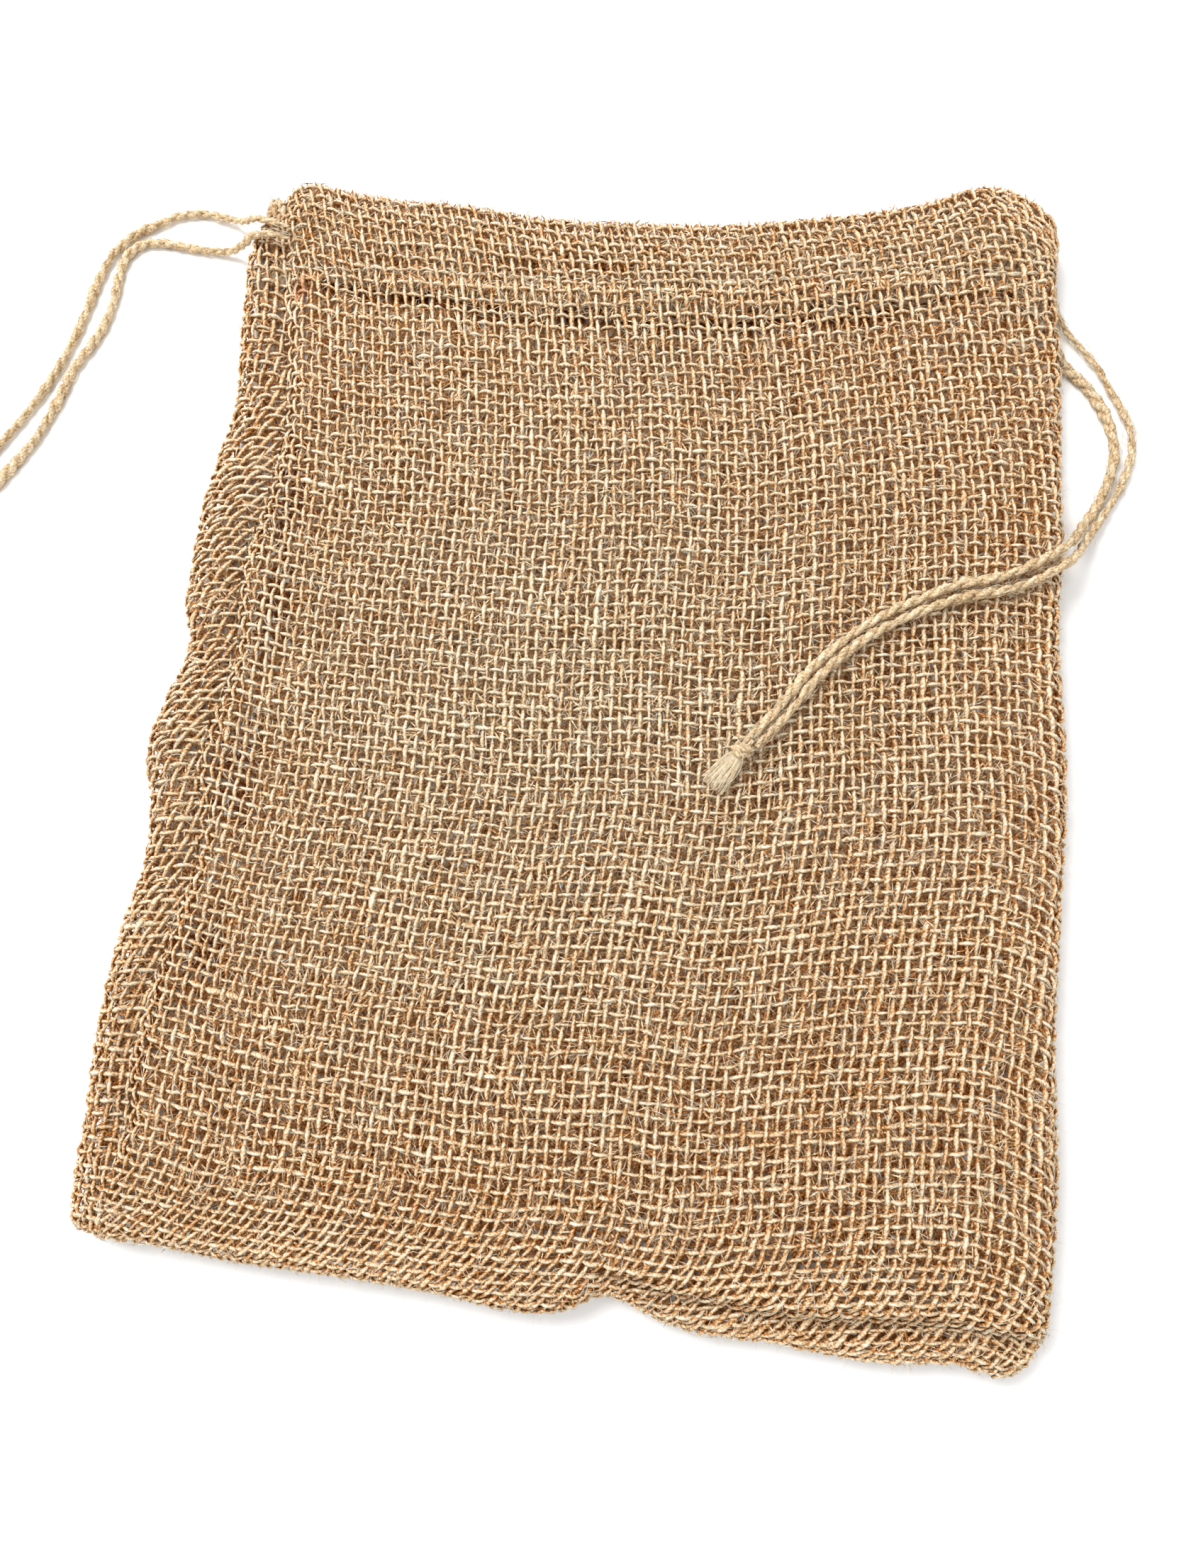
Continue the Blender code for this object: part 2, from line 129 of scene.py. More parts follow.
SWELLS = {
    "x": [84, -91.5, -93, -60, 30, -20, 62, 93, -40, -91.8, -90, -91.5],
    "y": [115, -117, -22, 40, -70, 60, 10, -40, -85, 66, 4, -49],
    "reach_x": [13, 9, 8, 22, 40, 30, 24, 9, 30, 6, 6, 6],
    "reach_y": [12, 9, 14, 45, 38, 30, 60, 50, 24, 8, 8, 9],
    "height": [2.2, 1.6, 0.8, -0.5, 0.5, 0.5, -0.4, 0.5, -0.4, -1.0, -1.3, -1.1],
}


def smooth(table, across, value, at):
    """A smooth curve through a table's rows: cubic Hermite pieces with the rows' own slopes."""
    x = np.array(table[across], float)
    y = np.array(table[value], float)
    at = np.clip(at, x[0], x[-1])
    slope = np.gradient(y, x)
    i = np.clip(np.searchsorted(x, at, side="right") - 1, 0, len(x) - 2)
    width = x[i + 1] - x[i]
    t = (at - x[i]) / width
    ends = (1 + 2 * t) * (1 - t) ** 2 * y[i] + t * t * (3 - 2 * t) * y[i + 1]
    return ends + width * (t * (1 - t) ** 2 * slope[i] - t * t * (1 - t) * slope[i + 1])


def bump(distance, width):
    """A bell of height 1: exp(-(distance / width)^2)."""
    return np.exp(-((distance / width) ** 2))


def relief(size, distance):
    """A ridge or trough of the size's height, fading over its reach."""
    return size[0] * bump(distance, size[1])


def step(value, start, end):
    """0 below start, 1 above end, and t^2 (3 - 2t) between."""
    t = np.clip((value - start) / (end - start), 0, 1)
    return t * t * (3 - 2 * t)


def front_top(x, y):
    """Outer height of the front panel: its level plus the casing, seams and swells."""
    below_mouth = smooth(MOUTH, "x", "y", x) - y
    over_casing = 1 - step(below_mouth, CASING_DEPTH + CASING_EASE[0], CASING_DEPTH + CASING_EASE[1])
    height = BODY_TOP + (CASING_TOP - BODY_TOP) * over_casing
    height += relief(CASING_TWINE, below_mouth - CASING_TWINE_BELOW)
    height += relief(HEM_TROUGH, below_mouth - CASING_DEPTH)
    for sx, sy, reach_x, reach_y, rise in zip(*(SWELLS[name] for name in SWELLS)):
        height += rise * bump(x - sx, reach_x) * bump(y - sy, reach_y)
    from_seam = x - smooth(SIDES, "y", "seam", y)
    above_corner = step(y, *SEAM_FOOT)
    height -= BAND_DROP * step(-from_seam, -SEAM_EASE, SEAM_EASE)
    height += relief(SEAM_TROUGH, from_seam) * above_corner * (1 - SEAM_FLATTER_ON_CASING * over_casing)
    height += relief(SEAM_BANK, from_seam - SEAM_BANK_IN) * above_corner
    furrow = y - smooth(BOTTOM_SEAM, "x", "y", x)
    past_pinch = step(x, BOTTOM_SEAM_START, BOTTOM_SEAM_START + BOTTOM_SEAM_EASE)
    height -= past_pinch * BOTTOM_DROP * step(-furrow, *BOTTOM_EASE)
    height += past_pinch * relief(BOTTOM_TROUGH, furrow)
    up_from_edge = y - smooth(BOTTOM, "x", "y", x)
    height += (1 - past_pinch) * relief(BOTTOM_CREASE, up_from_edge - BOTTOM_CREASE_UP)
    return height


# Yarn and twine alike are bundles of jute fibre. Each is a tube of oval rings carried
# along its own line, and each keeps its shade, its distance along and round itself.
MM = 0.001
LEAST_KNOTS = 4
SLIVER_CROWN = 0.04


def wander(rng, lines, samples, knots):
    """Smooth random values of unit spread, one row a line: random knots joined by raised cosines."""
    knots = max(LEAST_KNOTS, knots)
    at = np.linspace(0, knots - 1, samples)
    nearness = np.clip(1 - np.abs(at[:, None] - np.arange(knots)), 0, 1)
    weights = (1 - np.cos(np.pi * nearness)) / 2
    weights /= np.sqrt((weights ** 2).sum(axis=1, keepdims=True))
    return rng.normal(size=(lines, knots)) @ weights.T


def unit(vectors):
    """The vectors, each divided by its length."""
    return vectors / np.maximum(np.linalg.norm(vectors, axis=-1, keepdims=True), 1e-9)


def run_along(line):
    """The distance along a line, or along each of many lines, to each of its points."""
    run = np.cumsum(np.linalg.norm(np.diff(line, axis=-2), axis=-1), axis=-1)
    return np.concatenate([np.zeros_like(run[..., :1]), run], axis=-1)


def tubes(centre, up, half_width, half_height, tone, sides, under=0.0):
    """Oval tubes along lines of points: ring = centre + side * width * cos + lift * height * sin.

    centre and up are (lines, points, 3), the sizes and tone (lines, points), all in mm. Painted
    shade darkens the tone by under from the crest to the underside. Each tube is closed by one face
    across each end, whose rim stays sharp.
    """
    lines, points = centre.shape[:2]
    along = unit(np.gradient(centre, axis=1))
    side = unit(np.cross(along, up))
    lift = np.cross(side, along)
    angle = 2 * np.pi * (np.arange(sides) + (sides % 4) / 4) / sides
    across = side[:, :, None] * (half_width[..., None] * np.cos(angle))[..., None]
    high = lift[:, :, None] * (half_height[..., None] * np.sin(angle))[..., None]
    rings = centre[:, :, None] + across + high
    run = run_along(centre) * MM
    index = np.arange(lines * points * sides).reshape(lines, points, sides)
    after = np.roll(index, -1, axis=2)
    quads = np.stack([index[:, :-1], index[:, 1:], after[:, 1:], after[:, :-1]], axis=-1)
    turn = np.arange(sides) / sides
    u = np.stack([turn, turn, turn + 1 / sides, turn + 1 / sides], axis=-1)
    v = np.stack([run[:, :-1], run[:, 1:], run[:, 1:], run[:, :-1]], axis=-1)
    uv = np.stack(np.broadcast_arrays(u, v[:, :, None]), axis=-1)
    ends = np.stack([index[:, 0], index[:, -1, ::-1]], axis=1).reshape(-1, sides)
    return {
        "points": rings.reshape(-1, 3),
        "faces": [quads.reshape(-1, 4), ends],
        "uv": [uv.reshape(-1, 2), np.zeros((ends.size, 2))],
        # Painted shade: each ring's tone gets darker round towards its underside.
        "tone": (tone[..., None] - np.asarray(under)[..., None] * (1 - np.sin(angle)) / 2).ravel(),
        "rims": np.stack([ends, np.roll(ends, -1, axis=-1)], axis=-1).reshape(-1, 2),
    }


def fibres(root, way, length, bow, thickness, tone):
    """Loose single fibres: a three-sided ring at the middle, moved by bow and drawn to a point each way."""
    count = len(root)
    way = unit(way)
    start = root - way * length[:, None] / 2
    end = root + way * length[:, None] / 2
    side = unit(np.cross(way, bow + (1e-4, 2e-4, 3e-4)))
    lift = np.cross(way, side)
    ring = [
        root + bow + (side * math.cos(turn) + lift * math.sin(turn)) * thickness[:, None]
        for turn in (0, 2 * math.pi / 3, 4 * math.pi / 3)
    ]
    shape = np.array([(1, 2, 4), (2, 3, 4), (3, 1, 4), (2, 1, 0), (3, 2, 0), (1, 3, 0)])
    faces = (np.arange(count)[:, None, None] * 5 + shape).reshape(-1, 3)
    return {
        "points": np.stack([start, *ring, end], axis=1).reshape(-1, 3),
        "faces": [faces],
        "uv": [np.zeros((faces.size, 2))],
        "tone": np.repeat(tone, 5),
        "rims": np.zeros((0, 2), int),
    }


def bent_fibres(rng, root, way, length, bow, thick, tone):
    """Single fibres at these places, each with its own bow, thickness and shade within these spreads."""
    count = len(root)
    bow = rng.normal(0, bow, (count, 3)) * length[:, None]
    thick = rng.uniform(*thick, count)
    return fibres(root, way, length, bow, thick, rng.uniform(*tone, count))


def slivers(root, way, side, length, width, tone):
    """Flat straight bits of fibre: four-cornered blades, widest and a little crowned at the middle."""
    count = len(root)
    way, side = unit(way), unit(side)
    lift = np.cross(way, side) * SLIVER_CROWN
    half, across = way * length[:, None] / 2, side * width[:, None] / 2
    shape = np.array([(0, 1, 2), (0, 3, 1), (0, 2, 3), (1, 3, 2)])
    edges = np.array([(0, 1), (0, 2), (0, 3), (1, 2), (1, 3), (2, 3)])
    faces = (np.arange(count)[:, None, None] * 4 + shape).reshape(-1, 3)
    corners = [root - half, root + half, root - across + lift, root + across + lift]
    return {
        "points": np.stack(corners, axis=1).reshape(-1, 3),
        "faces": [faces],
        "uv": [np.zeros((faces.size, 2))],
        "tone": np.repeat(tone, 4),
        "rims": (np.arange(count)[:, None, None] * 4 + edges).reshape(-1, 2),
    }


def jute_piece(name, parts, material):
    """One mesh object of tubes and fibres, given in mm, with its shade and its way along itself."""
    points, corners, starts, uvs, tones, rims = [], [], [], [], [], []
    base = first = 0
    for part in parts:
        for faces, uv in zip(part["faces"], part["uv"]):
            corners.append((faces + base).ravel())
            starts.append(first + faces.shape[1] * np.arange(len(faces)))
            uvs.append(uv)
            first += faces.size
        points.append(part["points"])
        tones.append(part["tone"])
        rims.append(part["rims"] + base)
        base += len(part["points"])
    mesh = bpy.data.meshes.new(name)
    corners = np.concatenate(corners)
    starts = np.concatenate(starts)
    mesh.vertices.add(base)
    mesh.vertices.foreach_set("co", (np.concatenate(points) * MM).astype(np.float32).ravel())
    mesh.loops.add(len(corners))
    mesh.loops.foreach_set("vertex_index", corners.astype(np.int32))
    mesh.polygons.add(len(starts))
    mesh.polygons.foreach_set("loop_start", starts.astype(np.int32))
    mesh.update(calc_edges=True)
    mesh.validate()
    along = mesh.uv_layers.new(name="yarn")
    along.data.foreach_set("uv", np.concatenate(uvs).astype(np.float32).ravel())
    tone = mesh.attributes.new("tone", "FLOAT", "POINT")
    tone.data.foreach_set("value", np.concatenate(tones).astype(np.float32))
    mesh.shade_smooth()
    edges = np.empty(len(mesh.edges) * 2, np.int32)
    mesh.edges.foreach_get("vertices", edges)
    edges = np.sort(edges.reshape(-1, 2), axis=1).astype(np.int64)
    rim = np.sort(np.concatenate(rims), axis=1).astype(np.int64)
    sharp = np.isin(edges @ (base, 1), rim @ (base, 1))
    mesh.attributes.new("sharp_edge", "BOOLEAN", "EDGE").data.foreach_set("value", sharp)
    made = bpy.data.objects.new(name, mesh)
    bpy.context.scene.collection.objects.link(made)
    made.data.materials.append(material)
    return made


JUTE_SHINE = 0.08
BLOTCH_SCALE = 2000.0
BLOTCH_DETAIL = 4.0
BLOTCH_DEPTH = 1.3
STREAKS_ROUND = 8.0
STREAK_DETAIL = 3.0
STREAK_ROUGHNESS = 0.65
STREAK_CHANGE = 0.08
STREAK_DEPTH = 1.3
STREAK_RELIEF = 0.25


def add_node(material, kind, inputs, operation=None):
    """One shader node: each input is linked from a socket, or holds a plain value."""
    tree = material.node_tree
    made = tree.nodes.new("ShaderNode" + kind)
    if operation:
        made.operation = operation
    for name, value in inputs.items():
        if isinstance(value, bpy.types.NodeSocket):
            tree.links.new(value, made.inputs[name])
        else:
            made.inputs[name].default_value = value
    return made


def jute(name, shades, twist_mm, roughness):
    """Jute fibre: shade = tone + blotch + streak, as a ramp of colour; the streaks stand in relief too."""
    made = bpy.data.materials.new(name)
    made.use_nodes = True
    shader = made.node_tree.nodes["Principled BSDF"]
    shader.inputs["Roughness"].default_value = roughness
    shader.inputs["Specular IOR Level"].default_value = JUTE_SHINE
    tone = add_node(made, "Attribute", {})
    tone.attribute_name = "tone"
    blotch = add_node(made, "TexNoise", {
        "Vector": add_node(made, "TexCoord", {}).outputs["Object"],
        "Scale": BLOTCH_SCALE, "Detail": BLOTCH_DETAIL,
    })
    # Fibres wind round the yarn. u is turns round it and v is metres along it, so v is scaled to
    # twists, and turns + twists stays the same along one fibre.
    uv = add_node(made, "UVMap", {})
    uv.uv_map = "yarn"
    twists = (1.0, 1.0 / (twist_mm * MM), 1.0)
    wind = add_node(made, "Mapping", {"Vector": uv.outputs["UV"], "Scale": twists})
    split = add_node(made, "SeparateXYZ", {"Vector": wind.outputs["Vector"]})
    lead = add_node(made, "Math", {0: split.outputs["X"], 1: split.outputs["Y"]}, "ADD")
    slow = add_node(made, "Math", {0: split.outputs["Y"], 1: STREAK_CHANGE}, "MULTIPLY")
    spun = add_node(made, "CombineXYZ", {"X": lead.outputs[0], "Y": slow.outputs[0]})
    streak = add_node(made, "TexNoise", {
        "Vector": spun.outputs["Vector"],
        "Scale": STREAKS_ROUND, "Detail": STREAK_DETAIL, "Roughness": STREAK_ROUGHNESS,
    })
    total = tone.outputs["Fac"]
    for noise, depth in ((blotch, BLOTCH_DEPTH), (streak, STREAK_DEPTH)):
        about_zero = {0: noise.outputs["Fac"], 1: depth, 2: -0.5 * depth}
        about_zero = add_node(made, "Math", about_zero, "MULTIPLY_ADD")
        total = add_node(made, "Math", {0: total, 1: about_zero.outputs[0]}, "ADD").outputs[0]
    ramp = add_node(made, "ValToRGB", {"Fac": total})
    stops = ramp.color_ramp.elements
    stops[0].color = (*shades[0][1], 1)
    stops[1].color = (*shades[-1][1], 1)
    for at, colour in shades[1:-1]:
        stops.new(at).color = (*colour, 1)
    made.node_tree.links.new(ramp.outputs["Color"], shader.inputs["Base Color"])
    rise = add_node(made, "Bump", {
        "Strength": 1.0, "Distance": STREAK_RELIEF * MM, "Height": streak.outputs["Fac"],
    })
    made.node_tree.links.new(rise.outputs["Normal"], shader.inputs["Normal"])
    return made


def fade_round(material, at, reach, middle, outside):
    """A value that runs evenly from middle to outside with distance from one point, over reach, in mm."""
    place = add_node(material, "TexCoord", {})
    distance = add_node(material, "VectorMath", {0: place.outputs["Object"]}, "DISTANCE")
    distance.inputs[1].default_value = tuple(value * MM for value in at)
    return add_node(material, "MapRange", {
        "Value": distance.outputs["Value"], "From Min": reach[0] * MM, "From Max": reach[1] * MM,
        "To Min": middle, "To Max": outside,
    }).outputs["Result"]


def recolour(material, made, before, after):
    """Puts a node between the material's colour and its shader: from its before to its after socket."""
    base = material.node_tree.nodes["Principled BSDF"].inputs["Base Color"]
    material.node_tree.links.new(base.links[0].from_socket, made.inputs[before])
    material.node_tree.links.new(made.outputs[after], base)


def colour_patch(material, at, reach, colour, strength):
    """A soft-edged patch of colour: the colour is mixed in by strength * (1 - distance / reach), in mm."""
    mix = add_node(material, "Mix", {"Factor": fade_round(material, at, (0, reach), strength, 0.0)})
    mix.data_type = "RGBA"
    mix.inputs["B"].default_value = (*colour, 1)
    recolour(material, mix, "A", "Result")


def bleach(material, at, reach, saturation, hue):
    """Colour bleached round one point: saturation and hue each run from the middle to outside."""
    shift = add_node(material, "HueSaturation", {
        "Saturation": fade_round(material, at, reach, *saturation),
        "Hue": fade_round(material, at, reach, *hue),
    })
    recolour(material, shift, "Color", "Color")


# Two drawstrings of two-ply jute twine. Each runs round the casing, and its two ends leave
# together at one side: here are the four free ends. The routes are the solids' own, with
# heights above the front of the sack or above the table.
TWINE = 2.0
CLOTH_GAP = 0.3
TABLE_GAP = 0.1
LAID = TWINE / 2 + CLOTH_GAP
LOW = TWINE / 2 + TABLE_GAP
ROUTES = {
    "left_drawstring_outer": {
        "front": [(-87.8, 112.6, LAID + 0.1)],
        "table": [
            (-92.6, 114.0, 11.0), (-97.4, 115.7, 9.9), (-103.0, 118.6, 5.6), (-109.5, 122.2, 2.0),
            (-116.5, 124.3, LOW), (-123.5, 123.8, LOW), (-129.8, 120.8, LOW), (-135.8, 117.2, LOW),
            (-140.2, 112.0, LOW), (-142.8, 104.0, LOW), (-145.0, 91.0, LOW), (-148.0, 79.4, LOW),
            (-152.2, 68.6, LOW), (-158.2, 57.6, LOW), (-164.2, 47.6, LOW), (-168.4, 37.0, LOW),
            (-171.6, 27.0, LOW), (-175.2, 18.0, LOW), (-178.4, 12.6, 1.5), (-180.7, 9.1, 2.2),
        ],
    },
    "left_drawstring_inner": {
        "front": [(-87.4, 109.6, LAID + 0.1)],
        "table": [
            (-92.0, 110.4, 11.1), (-97.0, 110.8, 10.1), (-102.6, 111.4, 5.4), (-108.2, 112.6, 1.8),
            (-114.5, 113.3, LOW), (-121.0, 114.3, LOW), (-127.5, 115.2, LOW), (-133.0, 114.6, LOW),
            (-136.4, 111.0, LOW), (-137.4, 104.5, LOW), (-137.6, 95.5, LOW), (-140.0, 86.4, LOW),
            (-144.0, 78.0, LOW), (-146.4, 68.8, LOW), (-150.2, 57.6, LOW), (-156.6, 46.4, LOW),
            (-162.4, 37.0, LOW), (-167.0, 27.0, LOW), (-171.6, 18.0, LOW), (-175.6, 11.6, 1.5),
            (-178.9, 7.6, 2.2),
        ],
    },
    "right_drawstring_outer": {
        "table": [
            (98.7, 113.0, 1.2), (98.8, 107.0, LOW), (99.5, 101.6, LOW), (101.4, 97.8, LOW),
            (104.2, 94.2, LOW), (108.7, 88.0, LOW), (112.4, 80.6, LOW), (115.7, 73.6, LOW),
            (116.3, 66.5, LOW), (114.4, 59.4, LOW), (111.4, 53.0, 1.3), (107.7, 46.8, 2.6),
            (104.6, 41.6, 4.8), (102.2, 38.0, 7.6), (99.6, 34.9, 9.5),
        ],
        "front": [
            (96.5, 32.6, LAID + 0.3), (89.2, 28.6, LAID), (83.6, 27.0, LAID), (77.5, 25.5, LAID),
            (70.8, 22.6, LAID), (64.0, 18.9, LAID), (57.8, 14.7, LAID), (52.9, 10.1, LAID),
            (48.7, 5.6, LAID), (45.3, 0.5, LAID), (42.1, -4.3, LAID), (39.2, -8.0, LAID + 0.4),
            (36.5, -11.1, LAID + 1.1),
        ],
    },
    "right_drawstring_inner": {
        "table": [
            (98.9, 97.4, 1.2), (99.5, 92.4, LOW), (101.6, 87.6, LOW), (105.3, 83.9, LOW),
            (109.0, 78.8, LOW), (111.6, 72.6, LOW), (112.6, 66.2, LOW), (111.4, 59.8, LOW),
            (108.6, 52.8, 1.3), (105.8, 48.2, 2.6), (103.6, 44.6, 4.8), (101.8, 41.6, 7.6),
            (99.0, 38.6, 9.6),
        ],
        "front": [
            (94.9, 35.4, LAID + 0.3), (87.8, 31.6, LAID), (83.0, 30.0, LAID), (76.5, 28.3, LAID),
            (69.6, 25.0, LAID), (62.6, 21.1, LAID), (56.2, 16.5, LAID), (51.1, 11.7, LAID),
            (46.9, 7.0, LAID), (43.3, 1.9, LAID), (40.1, -2.9, LAID), (37.4, -6.6, LAID + 0.4),
            (34.7, -9.7, LAID + 1.1),
        ],
    },
}
# Each free end's share of the full thickness: the right outer one is thin where it leaves.
FULLNESS = {
    "left_drawstring_outer": (0.70, 0.82, 0.92, 1.0, 0.95, 1.0, 0.95, 1.0),
    "left_drawstring_inner": (0.80, 0.88, 1.0, 1.15, 1.05, 1.2, 1.05, 1.0),
    "right_drawstring_outer": (0.62, 0.68, 0.75, 0.95, 1.0, 1.0, 1.0, 0.95),
    "right_drawstring_inner": (1.1, 1.2, 1.15, 1.05, 1.0, 1.0, 1.0, 0.95),
}


def curve(points, run, at):
    """The smooth curve in space through these points, whose distances along it are run."""
    columns = {"run": run, "x": points[:, 0], "y": points[:, 1], "z": points[:, 2]}
    return np.stack([smooth(columns, "run", axis, at) for axis in "xyz"], axis=1)


def route_line(route, spacing):
    """Points at even steps on a smooth curve through a route's own points, in mm."""
    over = {"front": front_top, "table": lambda x, y: 0.0}
    knots = np.array([
        (x, y, height + float(over[what](x, y))) for what, leg in route.items() for x, y, height in leg
    ])
    run = run_along(knots)
    return curve(knots, run, np.linspace(0, run[-1], math.ceil(run[-1] / spacing) + 1))


PLY_PITCH = 7.6
PLY_OUT = 0.38
PLY_RADIUS = 0.77
PLY_SIDES = 6
PLY_STEP = 0.7
PLY_START = 0.5
PLY_START_LONG = 5.0
PLY_UNEVEN = 0.07
PLY_PHASE_UNEVEN = 0.5
PLY_RADIUS_UNEVEN = 0.08
PLY_TONE = 0.54
PLY_TONE_UNEVEN = 0.05
# Painted shade: how much darker each ply is on its underside than on its crest.
PLY_UNDERSIDE_PAINTED_SHADE = 0.22


def plies(line, up, fullness, rng):
    """Two plies wound left-handed round a line: offset = radius * (side cos phase + lift sin phase)."""
    points = len(line)
    run = run_along(line)
    along = unit(np.gradient(line, axis=0))
    side = unit(np.cross(along, up))
    lift = np.cross(side, along)
    full = np.interp(np.linspace(0, 1, points), np.linspace(0, 1, len(fullness)), fullness)
    full = full * (PLY_START + (1 - PLY_START) * step(run, 0, PLY_START_LONG))
    full = full * (1 + PLY_UNEVEN * wander(rng, 1, points, points // 8)[0])
    phase = 2 * np.pi * run / PLY_PITCH + PLY_PHASE_UNEVEN * wander(rng, 1, points, points // 14)[0]
    out = []
    for turn in (phase, phase + np.pi):
        way = side * np.cos(turn)[:, None] + lift * np.sin(turn)[:, None]
        centre = line + way * (PLY_OUT * full)[:, None]
        radius = PLY_RADIUS * full * (1 + PLY_RADIUS_UNEVEN * wander(rng, 1, points, points // 5)[0])
        tone = PLY_TONE + PLY_TONE_UNEVEN * wander(rng, 1, points, points // 6)[0]
        shape = (array[None] for array in (centre, way, radius, radius, tone))
        out.append(tubes(*shape, PLY_SIDES, under=PLY_UNDERSIDE_PAINTED_SHADE))
    return out


CORD_HAIR_EVERY = 0.27
CORD_HAIR_LEAN = 0.14
CORD_HAIR_OUT = (0.6, 1.2)
CORD_HAIR_LONG = (1.5, 6.0)
CORD_HAIR_THICK = (0.04, 0.09)
CORD_HAIR_TONE = (0.45, 0.95)
CORD_HAIR_BOW = 0.10
CORD_HAIR_LOWEST = 0.75


def cord_hairs(line, rng):
    """Fibres standing off a cord: most run nearly along it, leaning out of its surface."""
    count = int(run_along(line)[-1] / CORD_HAIR_EVERY)
    at = rng.integers(1, len(line) - 1, count)
    along = unit(line[at + 1] - line[at - 1])
    out = unit(np.cross(along, rng.normal(size=(count, 3))))
    length = rng.uniform(*CORD_HAIR_LONG, count)
    way = along * rng.choice([-1, 1], count)[:, None] + out * rng.normal(0, CORD_HAIR_LEAN, count)[:, None]
    root = line[at] + out * rng.uniform(*CORD_HAIR_OUT, count)[:, None]
    root[:, 2] = np.maximum(root[:, 2], line[at, 2] - CORD_HAIR_LOWEST)
    return bent_fibres(rng, root, way, length, CORD_HAIR_BOW, CORD_HAIR_THICK, CORD_HAIR_TONE)


TWINE_SHADES = (
    (0.0, (0.20, 0.105, 0.045)), (0.35, (0.53, 0.36, 0.19)), (0.65, (0.78, 0.63, 0.42)),
    (1.0, (0.93, 0.87, 0.70)),
)
TWINE_TWIST = 3.0
TWINE_ROUGHNESS = 0.85
twine_jute = jute("twine jute", TWINE_SHADES, TWINE_TWIST, TWINE_ROUGHNESS)
strands = {}
lines = {}
for number, (name, route) in enumerate(ROUTES.items()):
    rng = np.random.default_rng(100 + number)
    line = route_line(route, PLY_STEP)
    parts = plies(line, (0, 0, 1), FULLNESS[name], rng)
    parts.append(cord_hairs(line, rng))
    strand = jute_piece(name.replace("drawstring", "twine"), parts, twine_jute)
    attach(strand, "root")
    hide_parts(name)
    strands[name] = strand
    lines[name] = line

# Each pair of strands ends in one overhand knot of both: two tilted wraps round a core, and
# a brush of frayed fibre beyond it.
KNOTS = {
    "left_knot": {"at": (-181.4, 6.4, 2.5), "over": "table", "towards": (-0.62, -0.78, -0.06)},
    "right_knot": {"at": (33.8, -12.0, 2.7), "over": "front", "towards": (-0.57, -0.82, -0.08)},
}
KNOT_RING = 1.42
KNOT_RING_ENDS = 0.5
KNOT_END_STEPS = 6
KNOT_TURNS = 2.3
KNOT_STEPS = 54
KNOT_PHASE = 1.2
KNOT_TILT = 0.29
KNOT_TILT_PHASE = 0.6
KNOT_APART = 1.15
KNOT_FULLNESS = (0.80, 0.84, 0.80)
CORE_ASIDE = 0.55
CORE_REACH = (-2.9, 1.8)
CORE_STEPS = 12
CORE_FULLNESS = (0.85, 0.8, 0.8)
BRUSH = 200
BRUSH_STEPS = 6
BRUSH_AHEAD = 1.2
BRUSH_LONG = 9.0
BRUSH_UNEVEN = (0.80, 1.02)
BRUSH_START = 0.95
BRUSH_WIDE = 2.6
BRUSH_HIGH = 0.9
BRUSH_SPLAY = 0.12
BRUSH_WANDER = 0.35
BRUSH_DROP = 1.6
BRUSH_LOWEST = 0.12
BRUSH_THICK = (0.10, 0.20)
BRUSH_TAPER = 0.45
BRUSH_TONE = (0.45, 1.0)
STRAYS = 90
STRAY_ALONG = (-3, 8)
STRAY_OUT = (1.7, 2.4)
STRAY_LOWEST = 0.3
STRAY_LONG = (1.5, 5)
STRAY_BOW = 0.12
STRAY_THICK = (0.035, 0.065)
STRAY_TONE = (0.6, 1)


